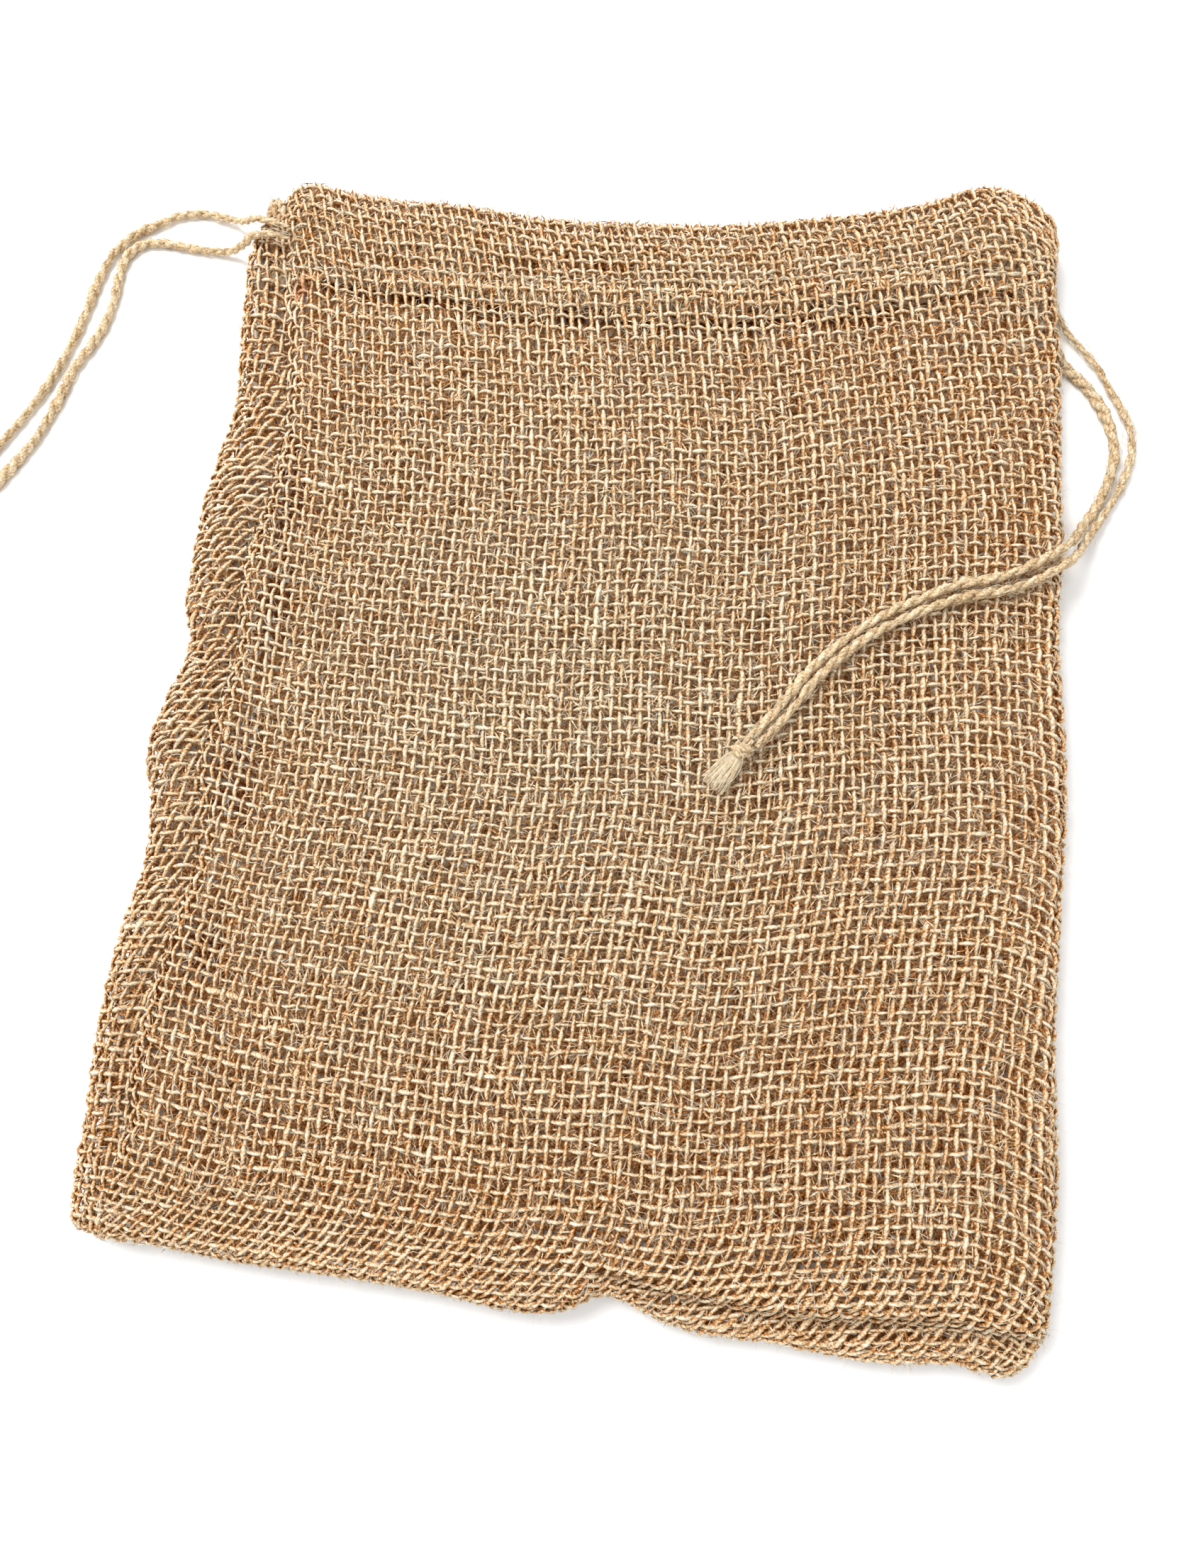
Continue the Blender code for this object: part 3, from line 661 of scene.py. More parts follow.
def knot_parts(knot, rng):
    """The wraps as one helix about the knot's axis, the core's two strands, and the brush."""
    x, y, height = knot["at"]
    ground = float(front_top(x, y)) if knot["over"] == "front" else 0.0
    middle = np.array((x, y, height + ground))
    axis = unit(np.array(knot["towards"], float))
    side = unit(np.cross(axis, (0, 0, 1)))
    lift = np.cross(side, axis)
    turn = np.linspace(0, 2 * np.pi * KNOT_TURNS, KNOT_STEPS) + KNOT_PHASE
    radial = side * np.cos(turn)[:, None] + lift * np.sin(turn)[:, None]
    tilt = KNOT_TILT * KNOT_RING * np.sin(turn + KNOT_TILT_PHASE)
    forward = KNOT_APART * np.linspace(-1, 1, KNOT_STEPS) + tilt
    ring = np.full(KNOT_STEPS, KNOT_RING)
    ring[:KNOT_END_STEPS] = np.linspace(KNOT_RING_ENDS, KNOT_RING, KNOT_END_STEPS)
    ring[-KNOT_END_STEPS:] = np.linspace(KNOT_RING, KNOT_RING_ENDS, KNOT_END_STEPS)
    wraps = middle + axis * forward[:, None] + radial * ring[:, None]
    parts = plies(wraps, radial, KNOT_FULLNESS, rng)
    for across in (-CORE_ASIDE, CORE_ASIDE):
        way = np.linspace(*CORE_REACH, CORE_STEPS)[:, None]
        parts += plies(middle + axis * way + side * across, lift, CORE_FULLNESS, rng)

    # The brush: its hairs start in a round bundle, spread sideways and sink on to what is below.
    splay = np.sqrt(rng.random(BRUSH)) * np.exp(BRUSH_SPLAY * rng.normal(size=BRUSH))
    bearing = rng.uniform(0, 2 * np.pi, BRUSH)
    reach = BRUSH_LONG * rng.uniform(*BRUSH_UNEVEN, BRUSH)
    t = np.linspace(0, 1, BRUSH_STEPS)
    wide = BRUSH_START + (BRUSH_WIDE - BRUSH_START) * t[None] ** 0.5
    across = (splay * np.cos(bearing))[:, None] * wide
    high = (splay * np.sin(bearing))[:, None] * (BRUSH_START + (BRUSH_HIGH - BRUSH_START) * t[None])
    wandered = np.cumsum(rng.normal(0, BRUSH_WANDER, (BRUSH, BRUSH_STEPS)), axis=1)
    across += BRUSH_WANDER * wandered * t
    ahead = BRUSH_AHEAD + reach[:, None] * t[None]
    centre = middle + axis * ahead[..., None] + side * across[..., None] + lift * high[..., None]
    centre[..., 2] -= (height - BRUSH_DROP) * np.clip(ahead / BRUSH_LONG, 0, 1) ** 0.7
    centre[..., 2] = np.maximum(centre[..., 2], ground + BRUSH_LOWEST)
    thin = rng.uniform(*BRUSH_THICK, BRUSH)[:, None] * (1 - BRUSH_TAPER * t[None] ** 2)
    tone = np.broadcast_to(rng.uniform(*BRUSH_TONE, (BRUSH, 1)), (BRUSH, BRUSH_STEPS))
    up = np.broadcast_to(np.array((0, 0, 1.0)), centre.shape)
    brush = tubes(centre, up, thin, thin, tone, 3)
    brush["uv"] = [uv * 0 for uv in brush["uv"]]
    parts.append(brush)

    out = unit(rng.normal(size=(STRAYS, 3)))
    out[:, 2] = np.abs(out[:, 2])
    root = middle + axis * rng.uniform(*STRAY_ALONG, STRAYS)[:, None]
    root = root + out * rng.uniform(*STRAY_OUT, STRAYS)[:, None]
    root[:, 2] = np.maximum(root[:, 2], ground + STRAY_LOWEST)
    way = axis + rng.normal(0, 0.7, (STRAYS, 3)) * (1, 1, 0.3)
    length = rng.uniform(*STRAY_LONG, STRAYS)
    parts.append(bent_fibres(rng, root, way, length, STRAY_BOW, STRAY_THICK, STRAY_TONE))
    return parts


# One stiff hair springs from the right knot and bends back over its brush.
SPRUNG_HAIR = [
    (31.4, -9.2, 3.4), (32.9, -10.6, 4.2), (33.8, -12.3, 4.5), (34.0, -14.0, 4.2), (33.9, -15.8, 3.4),
    (33.2, -17.5, 2.6), (32.3, -18.7, 2.0), (30.8, -19.9, 1.5), (28.8, -20.7, 1.2), (26.9, -21.1, 1.0),
]
SPRUNG_STEPS = 25
SPRUNG_THICK = 0.08
SPRUNG_TONE = 0.85
for number, (name, knot) in enumerate(KNOTS.items()):
    rng = np.random.default_rng(200 + number)
    parts = knot_parts(knot, rng)
    if knot["over"] == "front":
        x, y, height = knot["at"]
        hair = np.array(SPRUNG_HAIR) + (0, 0, float(front_top(x, y)))
        hair = curve(hair, np.arange(len(hair)), np.linspace(0, len(hair) - 1, SPRUNG_STEPS))[None]
        thin = np.full((1, SPRUNG_STEPS), SPRUNG_THICK)
        up = np.broadcast_to(np.array((0, 0, 1.0)), hair.shape)
        parts.append(tubes(hair, up, thin, thin, thin * 0 + SPRUNG_TONE, PLY_SIDES))
    piece = jute_piece(name.replace("knot", "twine_knot"), parts, twine_jute)
    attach(piece, "root")
    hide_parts(name)
    ours = [strand for strand in strands if strand.startswith(name.split("_")[0])]
    for strand in ours:
        path = [tuple(point) for point in (lines[strand] * MM).tolist()]
        length = float(run_along(lines[strand] * MM)[-1])
        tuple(path[0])


# The weave: plain hessian, one yarn over and one under. Warps run up the sack and are the
# fatter yarns, wefts run round it. Each cloth is laid out flat as (across, up) in mm, where
# its yarns are plain curves, then carried on to the sack. The seams cut across the yarns.
SKIN = 0.85
ARC = 5.2
WARP_PITCH = 2.17
WEFT_PITCH = {
    "y": [-140, -122, -117, -108, -90, -45, -30, -20, 0, 45, 66, 78, 86, 98, 106, 113, 150],
    "pitch": [2.0, 2.0, 2.15, 2.6, 2.76, 2.72, 2.9, 2.66, 2.71, 2.7, 2.75, 2.85, 3.3, 3.15, 2.9,
              2.84, 2.8],
}
WEFT_MEAN_PITCH = 2.72
WARP_SIZE = (0.47, 0.41)
WEFT_SIZE = (0.41, 0.36)
WARP_CRIMP = 0.42
WEFT_CRIMP = 0.40
# Painted shade: how much darker the front's and band's yarns are on their undersides than on their crests.
UNDERSIDE_PAINTED_SHADE = 0.55
HEM_ROUND = 0.875
HEM_LONG = 21.0
MOUTH_IN = 0.8
MOUTH_LEVEL = 122.05
ALONG_MOUTH = (95, 119)
SEAM_TUCK = 0.3
SEAM_TUCK_FALL = 0.8
YARN_SIDES = 4
FINE_STEPS = 3
COARSE_STEPS = 2
# How the front's warps lean, in degrees, positive over to the right as they rise; and how
# high its wefts run across the sack.
LEAN = {
    "y": [-130, -122, -117, -110, -104, -90, -75, -60, -45, -30, -22, -15, 0, 15, 30, 45, 60, 75, 88,
          100, 113, 125],
    "lean": [45, 42, 33, 14, 3, 0, 4, 5, 5.5, 4, 0, -4, -3, -2, -1, -4, -7, -9, -9.5, -12, -18, -20],
}
WEFT_RISE = {
    "x": [-95, -88, -67, -50, -30, -10, 10, 30, 50, 70, 98],
    "rise": [3.2, 2.2, -1.1, -1.7, -2.6, -2.9, -1.4, -1.4, 2.2, 5.4, 8.3],
}
# How far the wefts are dragged down in the last RIGHT_DRAG mm before the right fold, and the
# most of that reach that still counts beyond it.
RIGHT_SIDE = 98
RIGHT_DRAG = 16.0
RIGHT_DRAG_MOST = 1.3
RIGHT_FALL = {"y": [-130, -90, -60, -25, 0, 30, 60, 90], "fall": [6.0, 6.0, 5.5, 5.0, 3.0, 2.5, 1.5, 0]}
# Thick places in single yarns: which set, where, how long and how much fatter. Each is on one
# yarn's width of the upper cloth.
SLUBS = [
    ("weft", -71, 45.5, 9, 0.9), ("weft", -70, -73.5, 9, 0.9), ("warp", -83.6, -53, 7, 0.8),
    ("weft", -54, 56, 7, 0.8), ("warp", 32, -1, 5, 0.7), ("weft", 50, -26, 6, 0.8),
]
SLUB_NEAR = 1.2
SLUB_ABOVE = 5
# Where the layer below lies open: fewer loose fibres there, and painted shade on the yarns below, so that
# the holes look dark: (x, y, reach along, reach across).
OPEN = [
    (-76, 98.4, 8, 2.2), (-60, 96.7, 8, 2.2), (-50, 95, 4, 2.0), (-34, 91.6, 8, 2.2), (-13, 90.6, 9, 2.0),
    (11, 90.6, 10, 2.0), (27, 90.6, 8, 1.8), (48, 93, 8, 2.0), (60, 95.6, 5, 2.0), (-60, 107, 6, 1.4),
    (-32, 107.5, 7, 1.8), (-26, 105.5, 5, 1.5), (-7, 106, 9, 1.6), (-79, -30, 5, 14), (-78, 40, 4, 16),
    (-80, -70, 5, 10), (-77, 8, 4, 14),
]
OPEN_GAIN = 1.3
LEVEL_STEP = 0.05
HEIGHT_STEP = 0.5
LEVEL_ROUNDS = 6
SMALL = 0.3

# Sums along the sack: how many wefts lie below each level, and how far the warps have leaned.
fine = np.arange(-140.0, 150.0, LEVEL_STEP)
counted = np.cumsum(LEVEL_STEP / smooth(WEFT_PITCH, "y", "pitch", fine))
heights = np.arange(-132.0, 158.0, HEIGHT_STEP)
leaned = np.cumsum(np.tan(np.radians(smooth(LEAN, "y", "lean", heights))) * HEIGHT_STEP)
leaned -= np.interp(0, heights, leaned)


def level_of(follow, across, up):
    """The weft level through a point of a flat cloth: follow(level, across) = up, solved by steps."""
    level = up
    for _ in range(LEVEL_ROUNDS):
        level = level + up - follow(level, across)
    return level


def follow_front(level, across):
    """How high the weft of this level runs: its own rise, and along the mouth near the top."""
    rise = smooth(WEFT_RISE, "x", "rise", across)
    dragged = np.clip((across - RIGHT_SIDE + RIGHT_DRAG) / RIGHT_DRAG, 0, RIGHT_DRAG_MOST)
    rise = rise - smooth(RIGHT_FALL, "y", "fall", level) * dragged ** 2
    mouth = smooth(MOUTH, "x", "y", across) - MOUTH_IN - HEM_ROUND - MOUTH_LEVEL
    return level + rise + (mouth - rise) * step(level, *ALONG_MOUTH)


def edges_of(across, up):
    """Where the cloth turns under at the bottom and the mouth, each turn a part of a circle.

    Returns y, the angle turned at the bottom, the depth under the cloth in the mouth's hem, how
    far past the mouth the point is, and the level at which the bottom turn starts.
    """
    edge = smooth(BOTTOM, "x", "y", across) + RIM
    turned = np.clip((edge - up) / ARC, 0, 1) * np.pi / 2
    y = np.where(up < edge, edge - (RIM - SKIN) * np.sin(turned), up)
    mouth = smooth(MOUTH, "x", "y", across) - MOUTH_IN - HEM_ROUND
    over = up - mouth
    fold = np.clip(over / (np.pi * HEM_ROUND), 0, 1) * np.pi
    down = np.clip(over - np.pi * HEM_ROUND, 0, None)
    y = np.where(over > 0, mouth + HEM_ROUND * np.sin(fold) - down, y)
    return y, turned, HEM_ROUND * (1 - np.cos(fold)), over, edge


def front(across, up):
    """Middle of the front cloth: tucked in at the seam, turned down at the right fold and the bottom."""
    y, turned, under, _, _ = edges_of(across, up)
    seam = smooth(SIDES, "y", "seam", y)
    fold = smooth(SIDES, "y", "right", y) - RIM
    angle = np.clip((across - fold) / ARC, 0, 1) * np.pi / 2
    x = np.minimum(across, fold) + (RIM - SKIN - under) * np.sin(angle)
    top = front_top(x, y) - SKIN
    tuck = SEAM_TUCK_FALL * np.clip(seam - across, 0, None)
    high = (top - RIM_HEIGHT) * np.cos(angle) * np.cos(turned)
    z = RIM_HEIGHT + high - under * np.cos(angle) - tuck
    return np.stack([x, y, z], axis=-1)


def front_has(across, up):
    """Whether the flat point is on the front cloth."""
    y, _, _, over, edge = edges_of(across, up)
    on = (across >= smooth(SIDES, "y", "seam", y) - SEAM_TUCK)
    on &= across <= smooth(SIDES, "y", "right", y) - RIM + ARC
    return on & (up >= edge - ARC) & (over <= np.pi * HEM_ROUND + HEM_LONG)


# One record for each cloth: its curves, how far it reaches when flat, which way it faces, how
# wide its yarns are, how much painted shade darkens their undersides, how far in its last warp
# keeps from an edge, and how far aside the holes above it are when it is seen through them.
FRONT = {
    "place": front, "has": front_has, "follow": follow_front, "pitch": WARP_PITCH,
    "lean": lambda up: np.interp(up, heights, leaned), "across": (-94.0, 102.0), "up": (-131.0, 156.0),
    "outward": 1, "wide": 1.0, "under": UNDERSIDE_PAINTED_SHADE, "inset": -0.5, "seen": (0.0, 0.0),
}


def opened(x, y):
    """How far the layer below lies open at a point, 0 to 1: one bell for each place."""
    total = sum(bump(x - at_x, along) * bump(y - at_y, aside) for at_x, at_y, along, aside in OPEN)
    return np.clip(OPEN_GAIN * total, 0, 1)


def slope_of(cloth, across, up):
    """How the cloth's place changes from SMALL before a point to SMALL after it, going across."""
    return cloth["place"](across + SMALL, up) - cloth["place"](across - SMALL, up)


def facing(cloth, across, up):
    """The cloth's outward direction: the cross product of its two slopes."""
    rise = cloth["place"](across, up + SMALL) - cloth["place"](across, up - SMALL)
    return unit(np.cross(slope_of(cloth, across, up), rise)) * cloth["outward"]


def slubbed(centre, kind):
    """1 plus the thick places of one set of yarns: a bell along the yarn, one yarn wide."""
    gain = np.ones(centre.shape[:-1])
    for which, x, y, reach, more in SLUBS:
        if which == kind:
            along, aside = (0, 1) if kind == "weft" else (1, 0)
            near = np.abs(centre[..., aside] - (x, y)[aside]) < SLUB_NEAR
            near &= centre[..., 2] > SLUB_ABOVE
            gain += more * bump(centre[..., along] - (x, y)[along], reach) * near
    return gain


def runs_of(keep, least=4):
    """The parts of each line where keep holds: whole lines together, then single runs."""
    whole = np.flatnonzero(keep.all(axis=1))
    if len(whole):
        yield whole, slice(None)
    for line in np.flatnonzero(keep.any(axis=1) & ~keep.all(axis=1)):
        on = np.flatnonzero(keep[line])
        for span in np.split(on, np.flatnonzero(np.diff(on) > 1) + 1):
            if len(span) >= least:
                yield slice(line, line + 1), span


# How uneven the yarns are: along the whole yarn, over a few crossings, and from point to point.
SWAY = {"slow": 0.05, "yarn": 0.03, "quick": 0.07, "point": 0.02}
SWAY_MOST = 0.36
GIRTH = {"yarn": 0.06, "quick": 0.10, "slow": 0.05, "point": 0.06}
GIRTH_LIMITS = (0.55, 1.9)
SLUB_CHANCE = 0.10
SLUB_MORE = (0.15, 0.35)
SLUB_REACH = (2, 4)
YARN_TONE = {"warp": 0.60, "weft": 0.66}
TONE_YARN = 0.018
TONE_QUICK = 0.03
CREST_PAINTED_LIGHT = 0.05
WIDE_IN_HOLE = 0.94
WIDER_AT_CROSSING = 0.14
WIDER_IN_HEM = 0.45
LESS_PAINTED_SHADE_IN_HEM = 0.7
PAINTED_SHADE_WHERE_OPEN = 0.3


def weave(cloth, steps, seed, cuts=()):
    """Both sets of yarns of a plain weave: each rises and dips as cos(pi (warp + weft)) about the cloth.

    The cloth comes back in strips, cut at the given distances across.
    """
    (left, right), (low, high), pitch = cloth["across"], cloth["up"], cloth["pitch"]
    strips = [[] for _ in range(len(cuts) + 1)]
    for kind in ("warp", "weft"):
        rng = np.random.default_rng(seed * 10 + (kind == "weft"))
        if kind == "warp":
            lean = cloth["lean"](np.array([low, -60.0, 0.0, 60.0, high]))
            first, last = np.floor((left - lean.max()) / pitch), np.ceil((right - lean.min()) / pitch)
            span = np.arange(first, last + 1)
            way = np.linspace(low, high, int((high - low) / WEFT_MEAN_PITCH * steps) + 1)
        else:
            ends = level_of(cloth["follow"], np.array([[left], [right]]), np.array([low, high]))
            span = np.arange(*np.round(np.interp((ends.min(), ends.max()), fine, counted)))
            way = np.linspace(left, right, int((right - left) / pitch * steps) + 1)
        nth = span[:, None]
        count, samples, crossings = len(span), len(way), len(way) // steps
        sway = SWAY["slow"] * wander(rng, count, samples, crossings // 6)
        sway = sway + SWAY["yarn"] * rng.normal(size=(count, 1))
        quick = SWAY["quick"] * wander(rng, count, samples, crossings // 2)
        sway += quick + SWAY["point"] * rng.normal(size=(count, samples))
        line = nth + np.clip(sway, -SWAY_MOST, SWAY_MOST)
        way = np.broadcast_to(way, line.shape)
        if kind == "warp":
            up = way
            across = pitch * line + cloth["lean"](up)
            crossed = np.interp(level_of(cloth["follow"], across, up), fine, counted)
        else:
            across = way
            up = cloth["follow"](np.interp(line, counted, fine), across)
            crossed = (across - cloth["lean"](up)) / pitch
        wave = (1 if kind == "warp" else -1) * np.cos(np.pi * (nth + crossed))
        centre = cloth["place"](across, up)
        normal = facing(cloth, across, up)
        keep = cloth["has"](across, up)
        if kind == "warp":
            keep &= cloth["has"](across + cloth["inset"], up)
        girth = GIRTH["yarn"] * rng.normal(size=(count, 1))
        girth = girth + GIRTH["quick"] * wander(rng, count, samples, crossings // 2)
        slow = GIRTH["slow"] * wander(rng, count, samples, crossings // 9)
        girth += slow + GIRTH["point"] * rng.normal(size=(count, samples))
        girth = np.exp(girth)
        slub = rng.random((count, 1)) < SLUB_CHANCE
        slub = slub * (SLUB_MORE[0] + SLUB_MORE[1] * rng.random((count, 1)))
        reach = (SLUB_REACH[0] + SLUB_REACH[1] * rng.random((count, 1))) * steps
        girth *= 1 + slub * bump(np.arange(samples) - rng.random((count, 1)) * samples, reach)
        girth = np.clip(girth * slubbed(centre, kind), *GIRTH_LIMITS)
        tone = YARN_TONE[kind] + TONE_YARN * rng.normal(size=(count, 1))
        tone = tone + TONE_QUICK * wander(rng, count, samples, crossings // 2)
        # Painted light and shade: each yarn is lighter where it rises over a crossing and darker where it
        # dips under one.
        tone = tone + CREST_PAINTED_LIGHT * wave
        crimp, (width, height) = (WARP_CRIMP, WARP_SIZE) if kind == "warp" else (WEFT_CRIMP, WEFT_SIZE)
        # A yarn stays longer at its crest and foot than a plain cosine does.
        centre = centre + normal * (wave * (1.4 - 0.4 * wave ** 2) * crimp)[..., None]
        hemmed = edges_of(across, up)[3] > np.pi * HEM_ROUND / 2
        width = width * cloth["wide"] * girth * (WIDE_IN_HOLE + WIDER_AT_CROSSING * wave ** 2)
        width = width * (1 + WIDER_IN_HEM * hemmed)
        height = height * girth ** 0.6
        aside, above = cloth["seen"]
        # Painted shade: on the back cloth and in the hems, the yarns below darken further where the layer
        # lies open, and the hems' upturned undersides take less of the underside shade.
        open_painted_shade = PAINTED_SHADE_WHERE_OPEN * np.maximum(hemmed, above < 0)
        under = cloth["under"] * (1 - LESS_PAINTED_SHADE_IN_HEM * hemmed)
        under = under + open_painted_shade * opened(centre[..., 0] + aside, centre[..., 1] + above)
        middle = (across * keep).sum(axis=1) / np.maximum(keep.sum(axis=1), 1)
        places = [0, *(int(np.searchsorted(way[0], cut)) for cut in cuts), samples - 1]
        for number, strip in enumerate(strips):
            if kind == "warp":
                mine = (np.searchsorted(cuts, middle) == number)[:, None] & keep
                part = slice(None)
            else:
                part = slice(places[number], places[number + 1] + 1)
                mine = keep[:, part]
            arrays = [array[:, part] for array in (centre, normal, width, height, tone, under)]
            for which, run in runs_of(mine):
                *shape, shade = (array[which][:, run] for array in arrays)
                strip.append(tubes(*shape, YARN_SIDES, shade))
    return strips


HAIR_LEAN = 0.06
HAIR_BOW = (0.10, 0.03)
# Painted shade and light on loose fibres: all are dark, and the upper bent ones are made paler than the
# deep flat bits.
HAIR_TONE = (0.21, 0.58)
UPPER_FIBRE_PAINTED_LIGHT = 0.30
FIBRE_THINNER = 0.8
BIT_TILT = 0.3
BIT_WIDER = 3.4


def cloth_hairs(cloth, across, up, rng, depth, long, thick, bits):
    """Loose fibres in a cloth at these flat points, lying near it at every angle, with painted shade deep
    down: the deep flat bits are darker, the upper bent fibres paler.

    The first bits of them are flat straight bits, the others single bent fibres.
    """
    on = cloth["has"](across, up)
    flat = np.arange(len(across)) < bits
    aside, above = cloth["seen"]
    x, y, _ = np.moveaxis(cloth["place"](across, up), -1, 0)
    on &= ~flat | (rng.random(len(across)) > opened(x + aside, y + above))
    flat = flat[on]
    across, up = across[on], up[on]
    count = len(across)
    normal = facing(cloth, across, up)
    side = unit(slope_of(cloth, across, up))
    turn = rng.uniform(0, 2 * np.pi, count)
    way = side * np.cos(turn)[:, None] + np.cross(normal, side) * np.sin(turn)[:, None]
    way = way + normal * rng.normal(0, HAIR_LEAN, count)[:, None]
    height = np.where(flat, rng.uniform(depth[0], depth[1], count), rng.uniform(depth[1], depth[2], count))
    root = cloth["place"](across, up) + normal * height[:, None]
    length = rng.uniform(*long, count)
    bow = np.cross(way, normal) * rng.normal(0, HAIR_BOW[0], count)[:, None]
    bow = (bow + normal * rng.normal(0, HAIR_BOW[1], count)[:, None]) * length[:, None]
    tone = rng.uniform(*HAIR_TONE, count) + UPPER_FIBRE_PAINTED_LIGHT * ~flat
    size = rng.uniform(*thick, count)
    lie = np.cross(normal, way) + normal * rng.normal(0, BIT_TILT, count)[:, None]
    blades = (array[flat] for array in (root, way, lie, length, BIT_WIDER * size, tone))
    hairs = (array[~flat] for array in (root, way, length, bow, FIBRE_THINNER * size, tone))
    return [slivers(*blades), fibres(*hairs)]


FUZZ_SPREAD = 0.8
FUZZ_LONG = (1.2, 3.6)
FUZZ_ROOT = 0.5
FUZZ_OUT = 0.35
FUZZ_LOWEST = 0.4
FUZZ_BOW = 0.12
FUZZ_THICK = (0.03, 0.05)
FUZZ_TONE = (0.6, 0.95)


def fuzz(cloth, across, up, rng):
    """Single hairs that stand off a cloth's turned edges: way = outward + FUZZ_SPREAD * any direction."""
    on = cloth["has"](across, up)
    across, up = across[on], up[on]
    count = len(across)
    normal = facing(cloth, across, up)
    way = unit(normal + FUZZ_SPREAD * rng.normal(size=(count, 3)))
    length = rng.uniform(*FUZZ_LONG, count)
    root = cloth["place"](across, up) + normal * FUZZ_ROOT + way * length[:, None] * FUZZ_OUT
    root[:, 2] = np.maximum(root[:, 2], FUZZ_LOWEST)
    return bent_fibres(rng, root, way, length, FUZZ_BOW, FUZZ_THICK, FUZZ_TONE)


CLOTH_SHADES = (
    (0.0, (0.08, 0.011, 0.001)), (0.28, (0.43, 0.145, 0.029)), (0.45, (0.66, 0.395, 0.168)),
    (0.62, (0.79, 0.69, 0.49)), (1.0, (0.90, 0.88, 0.78)),
)
YARN_TWIST = 2.2
YARN_ROUGHNESS = 0.9
cloth_jute = jute("hessian jute", CLOTH_SHADES, YARN_TWIST, YARN_ROUGHNESS)
# The cloth is a little bleached at its middle, has a rust spot, and is made darker in a soft patch at the
# top left.
bleach(cloth_jute, (-10.0, 0.0, 8.0), (15, 112), (0.875, 1.01), (0.509, 0.499))
colour_patch(cloth_jute, (-83.6, 97.4, 9.0), 4.2, (0.52, 0.15, 0.045), 0.9)
colour_patch(cloth_jute, (-97.0, 118.5, 7.0), 10.0, (0.36, 0.19, 0.075), 0.75)

# The front panel in three strips, each its yarns and the loose fibre in them. At the casing's
# foot the turned-in hem ends, and its raw edge thickens the cloth. Two dark bits of stalk are
# caught in the weave below it.
CASING_FOOT = {"x": [-90, -52, -16, 18, 51, 65, 95], "y": [101.5, 100.3, 99.3, 99.4, 102.2, 104.0, 103.0]}
FRONT_STRIPS = [-90.0, -28.0, 34.0, 101.0]
HAIRY = (-129, 126)
FRONT_BITS = 5900
FRONT_FIBRES = 3000
MOUTH_BITS = 620
FOOT_BITS = 150
FOOT_PALER = 0.08
EDGE_HAIRS = 150
EDGE_TURN = 3
EDGE_UP = (-125, 125)
STALKS = np.array([[(-48.6, 97.0, 0.0), (-48.3, 94.0, 0.0)], [(-48.3, 94.6, 0.0), (-44.4, 91.9, 0.0)]])
STALK_ABOVE = 0.15
STALK_THICK = 0.30
STALK_TONE = -0.4
cloth_pieces = {}
strips = weave(FRONT, FINE_STEPS, 20, FRONT_STRIPS[1:-1])
for number, strip in enumerate(strips):
    left, right = FRONT_STRIPS[number:number + 2]
    rng = np.random.default_rng(60 + number)
    across = rng.uniform(left, right, FRONT_BITS + FRONT_FIBRES)
    up = rng.uniform(*HAIRY, FRONT_BITS + FRONT_FIBRES)
    strip += cloth_hairs(FRONT, across, up, rng, (-1.0, 0.2, 0.95), (2.5, 6.5), (0.05, 0.11), FRONT_BITS)
    across = rng.uniform(left, right, MOUTH_BITS)
    up = smooth(MOUTH, "x", "y", across) + rng.uniform(-1.0, 9.5, MOUTH_BITS)
    strip += cloth_hairs(FRONT, across, up, rng, (-0.5, 0.3, 0.3), (2.5, 5.0), (0.11, 0.16), MOUTH_BITS)
    across = rng.uniform(left, right, FOOT_BITS)
    up = smooth(CASING_FOOT, "x", "y", across) + rng.normal(0, 0.5, FOOT_BITS)
    pale = cloth_hairs(FRONT, across, up, rng, (-0.6, 0.2, 0.2), (2.0, 4.0), (0.10, 0.14), FOOT_BITS)
    pale[0]["tone"] += FOOT_PALER
    strip += pale
    across = rng.uniform(left, right, EDGE_HAIRS)
    turn = rng.uniform(0, EDGE_TURN, EDGE_HAIRS)
    mouth_rim = smooth(MOUTH, "x", "y", across) - 1.7 + turn
    bottom_rim = smooth(BOTTOM, "x", "y", across) + RIM - ARC / EDGE_TURN * turn
    rim = np.where(rng.random(EDGE_HAIRS) < 0.5, mouth_rim, bottom_rim)
    strip.append(fuzz(FRONT, across, rim, rng))
    if number == 2:
        up = rng.uniform(*EDGE_UP, EDGE_HAIRS)
        rim = smooth(SIDES, "y", "right", up) - RIM + turn * ARC / EDGE_TURN
        strip.append(fuzz(FRONT, rim, up, rng))
    if number == 0:
        way = STALKS[:, 1] - STALKS[:, 0]
        middle = STALKS.sum(axis=1) / 2
        middle[:, 2] = front_top(middle[:, 0], middle[:, 1]) + STALK_ABOVE
        thick, tone = np.full(2, STALK_THICK), np.full(2, STALK_TONE)
        strip.append(fibres(middle, way, np.linalg.norm(way, axis=1), np.zeros((2, 3)), thick, tone))
    name = f"front_cloth_{number + 1}"
    cloth_pieces[name] = jute_piece(name, strip, cloth_jute)


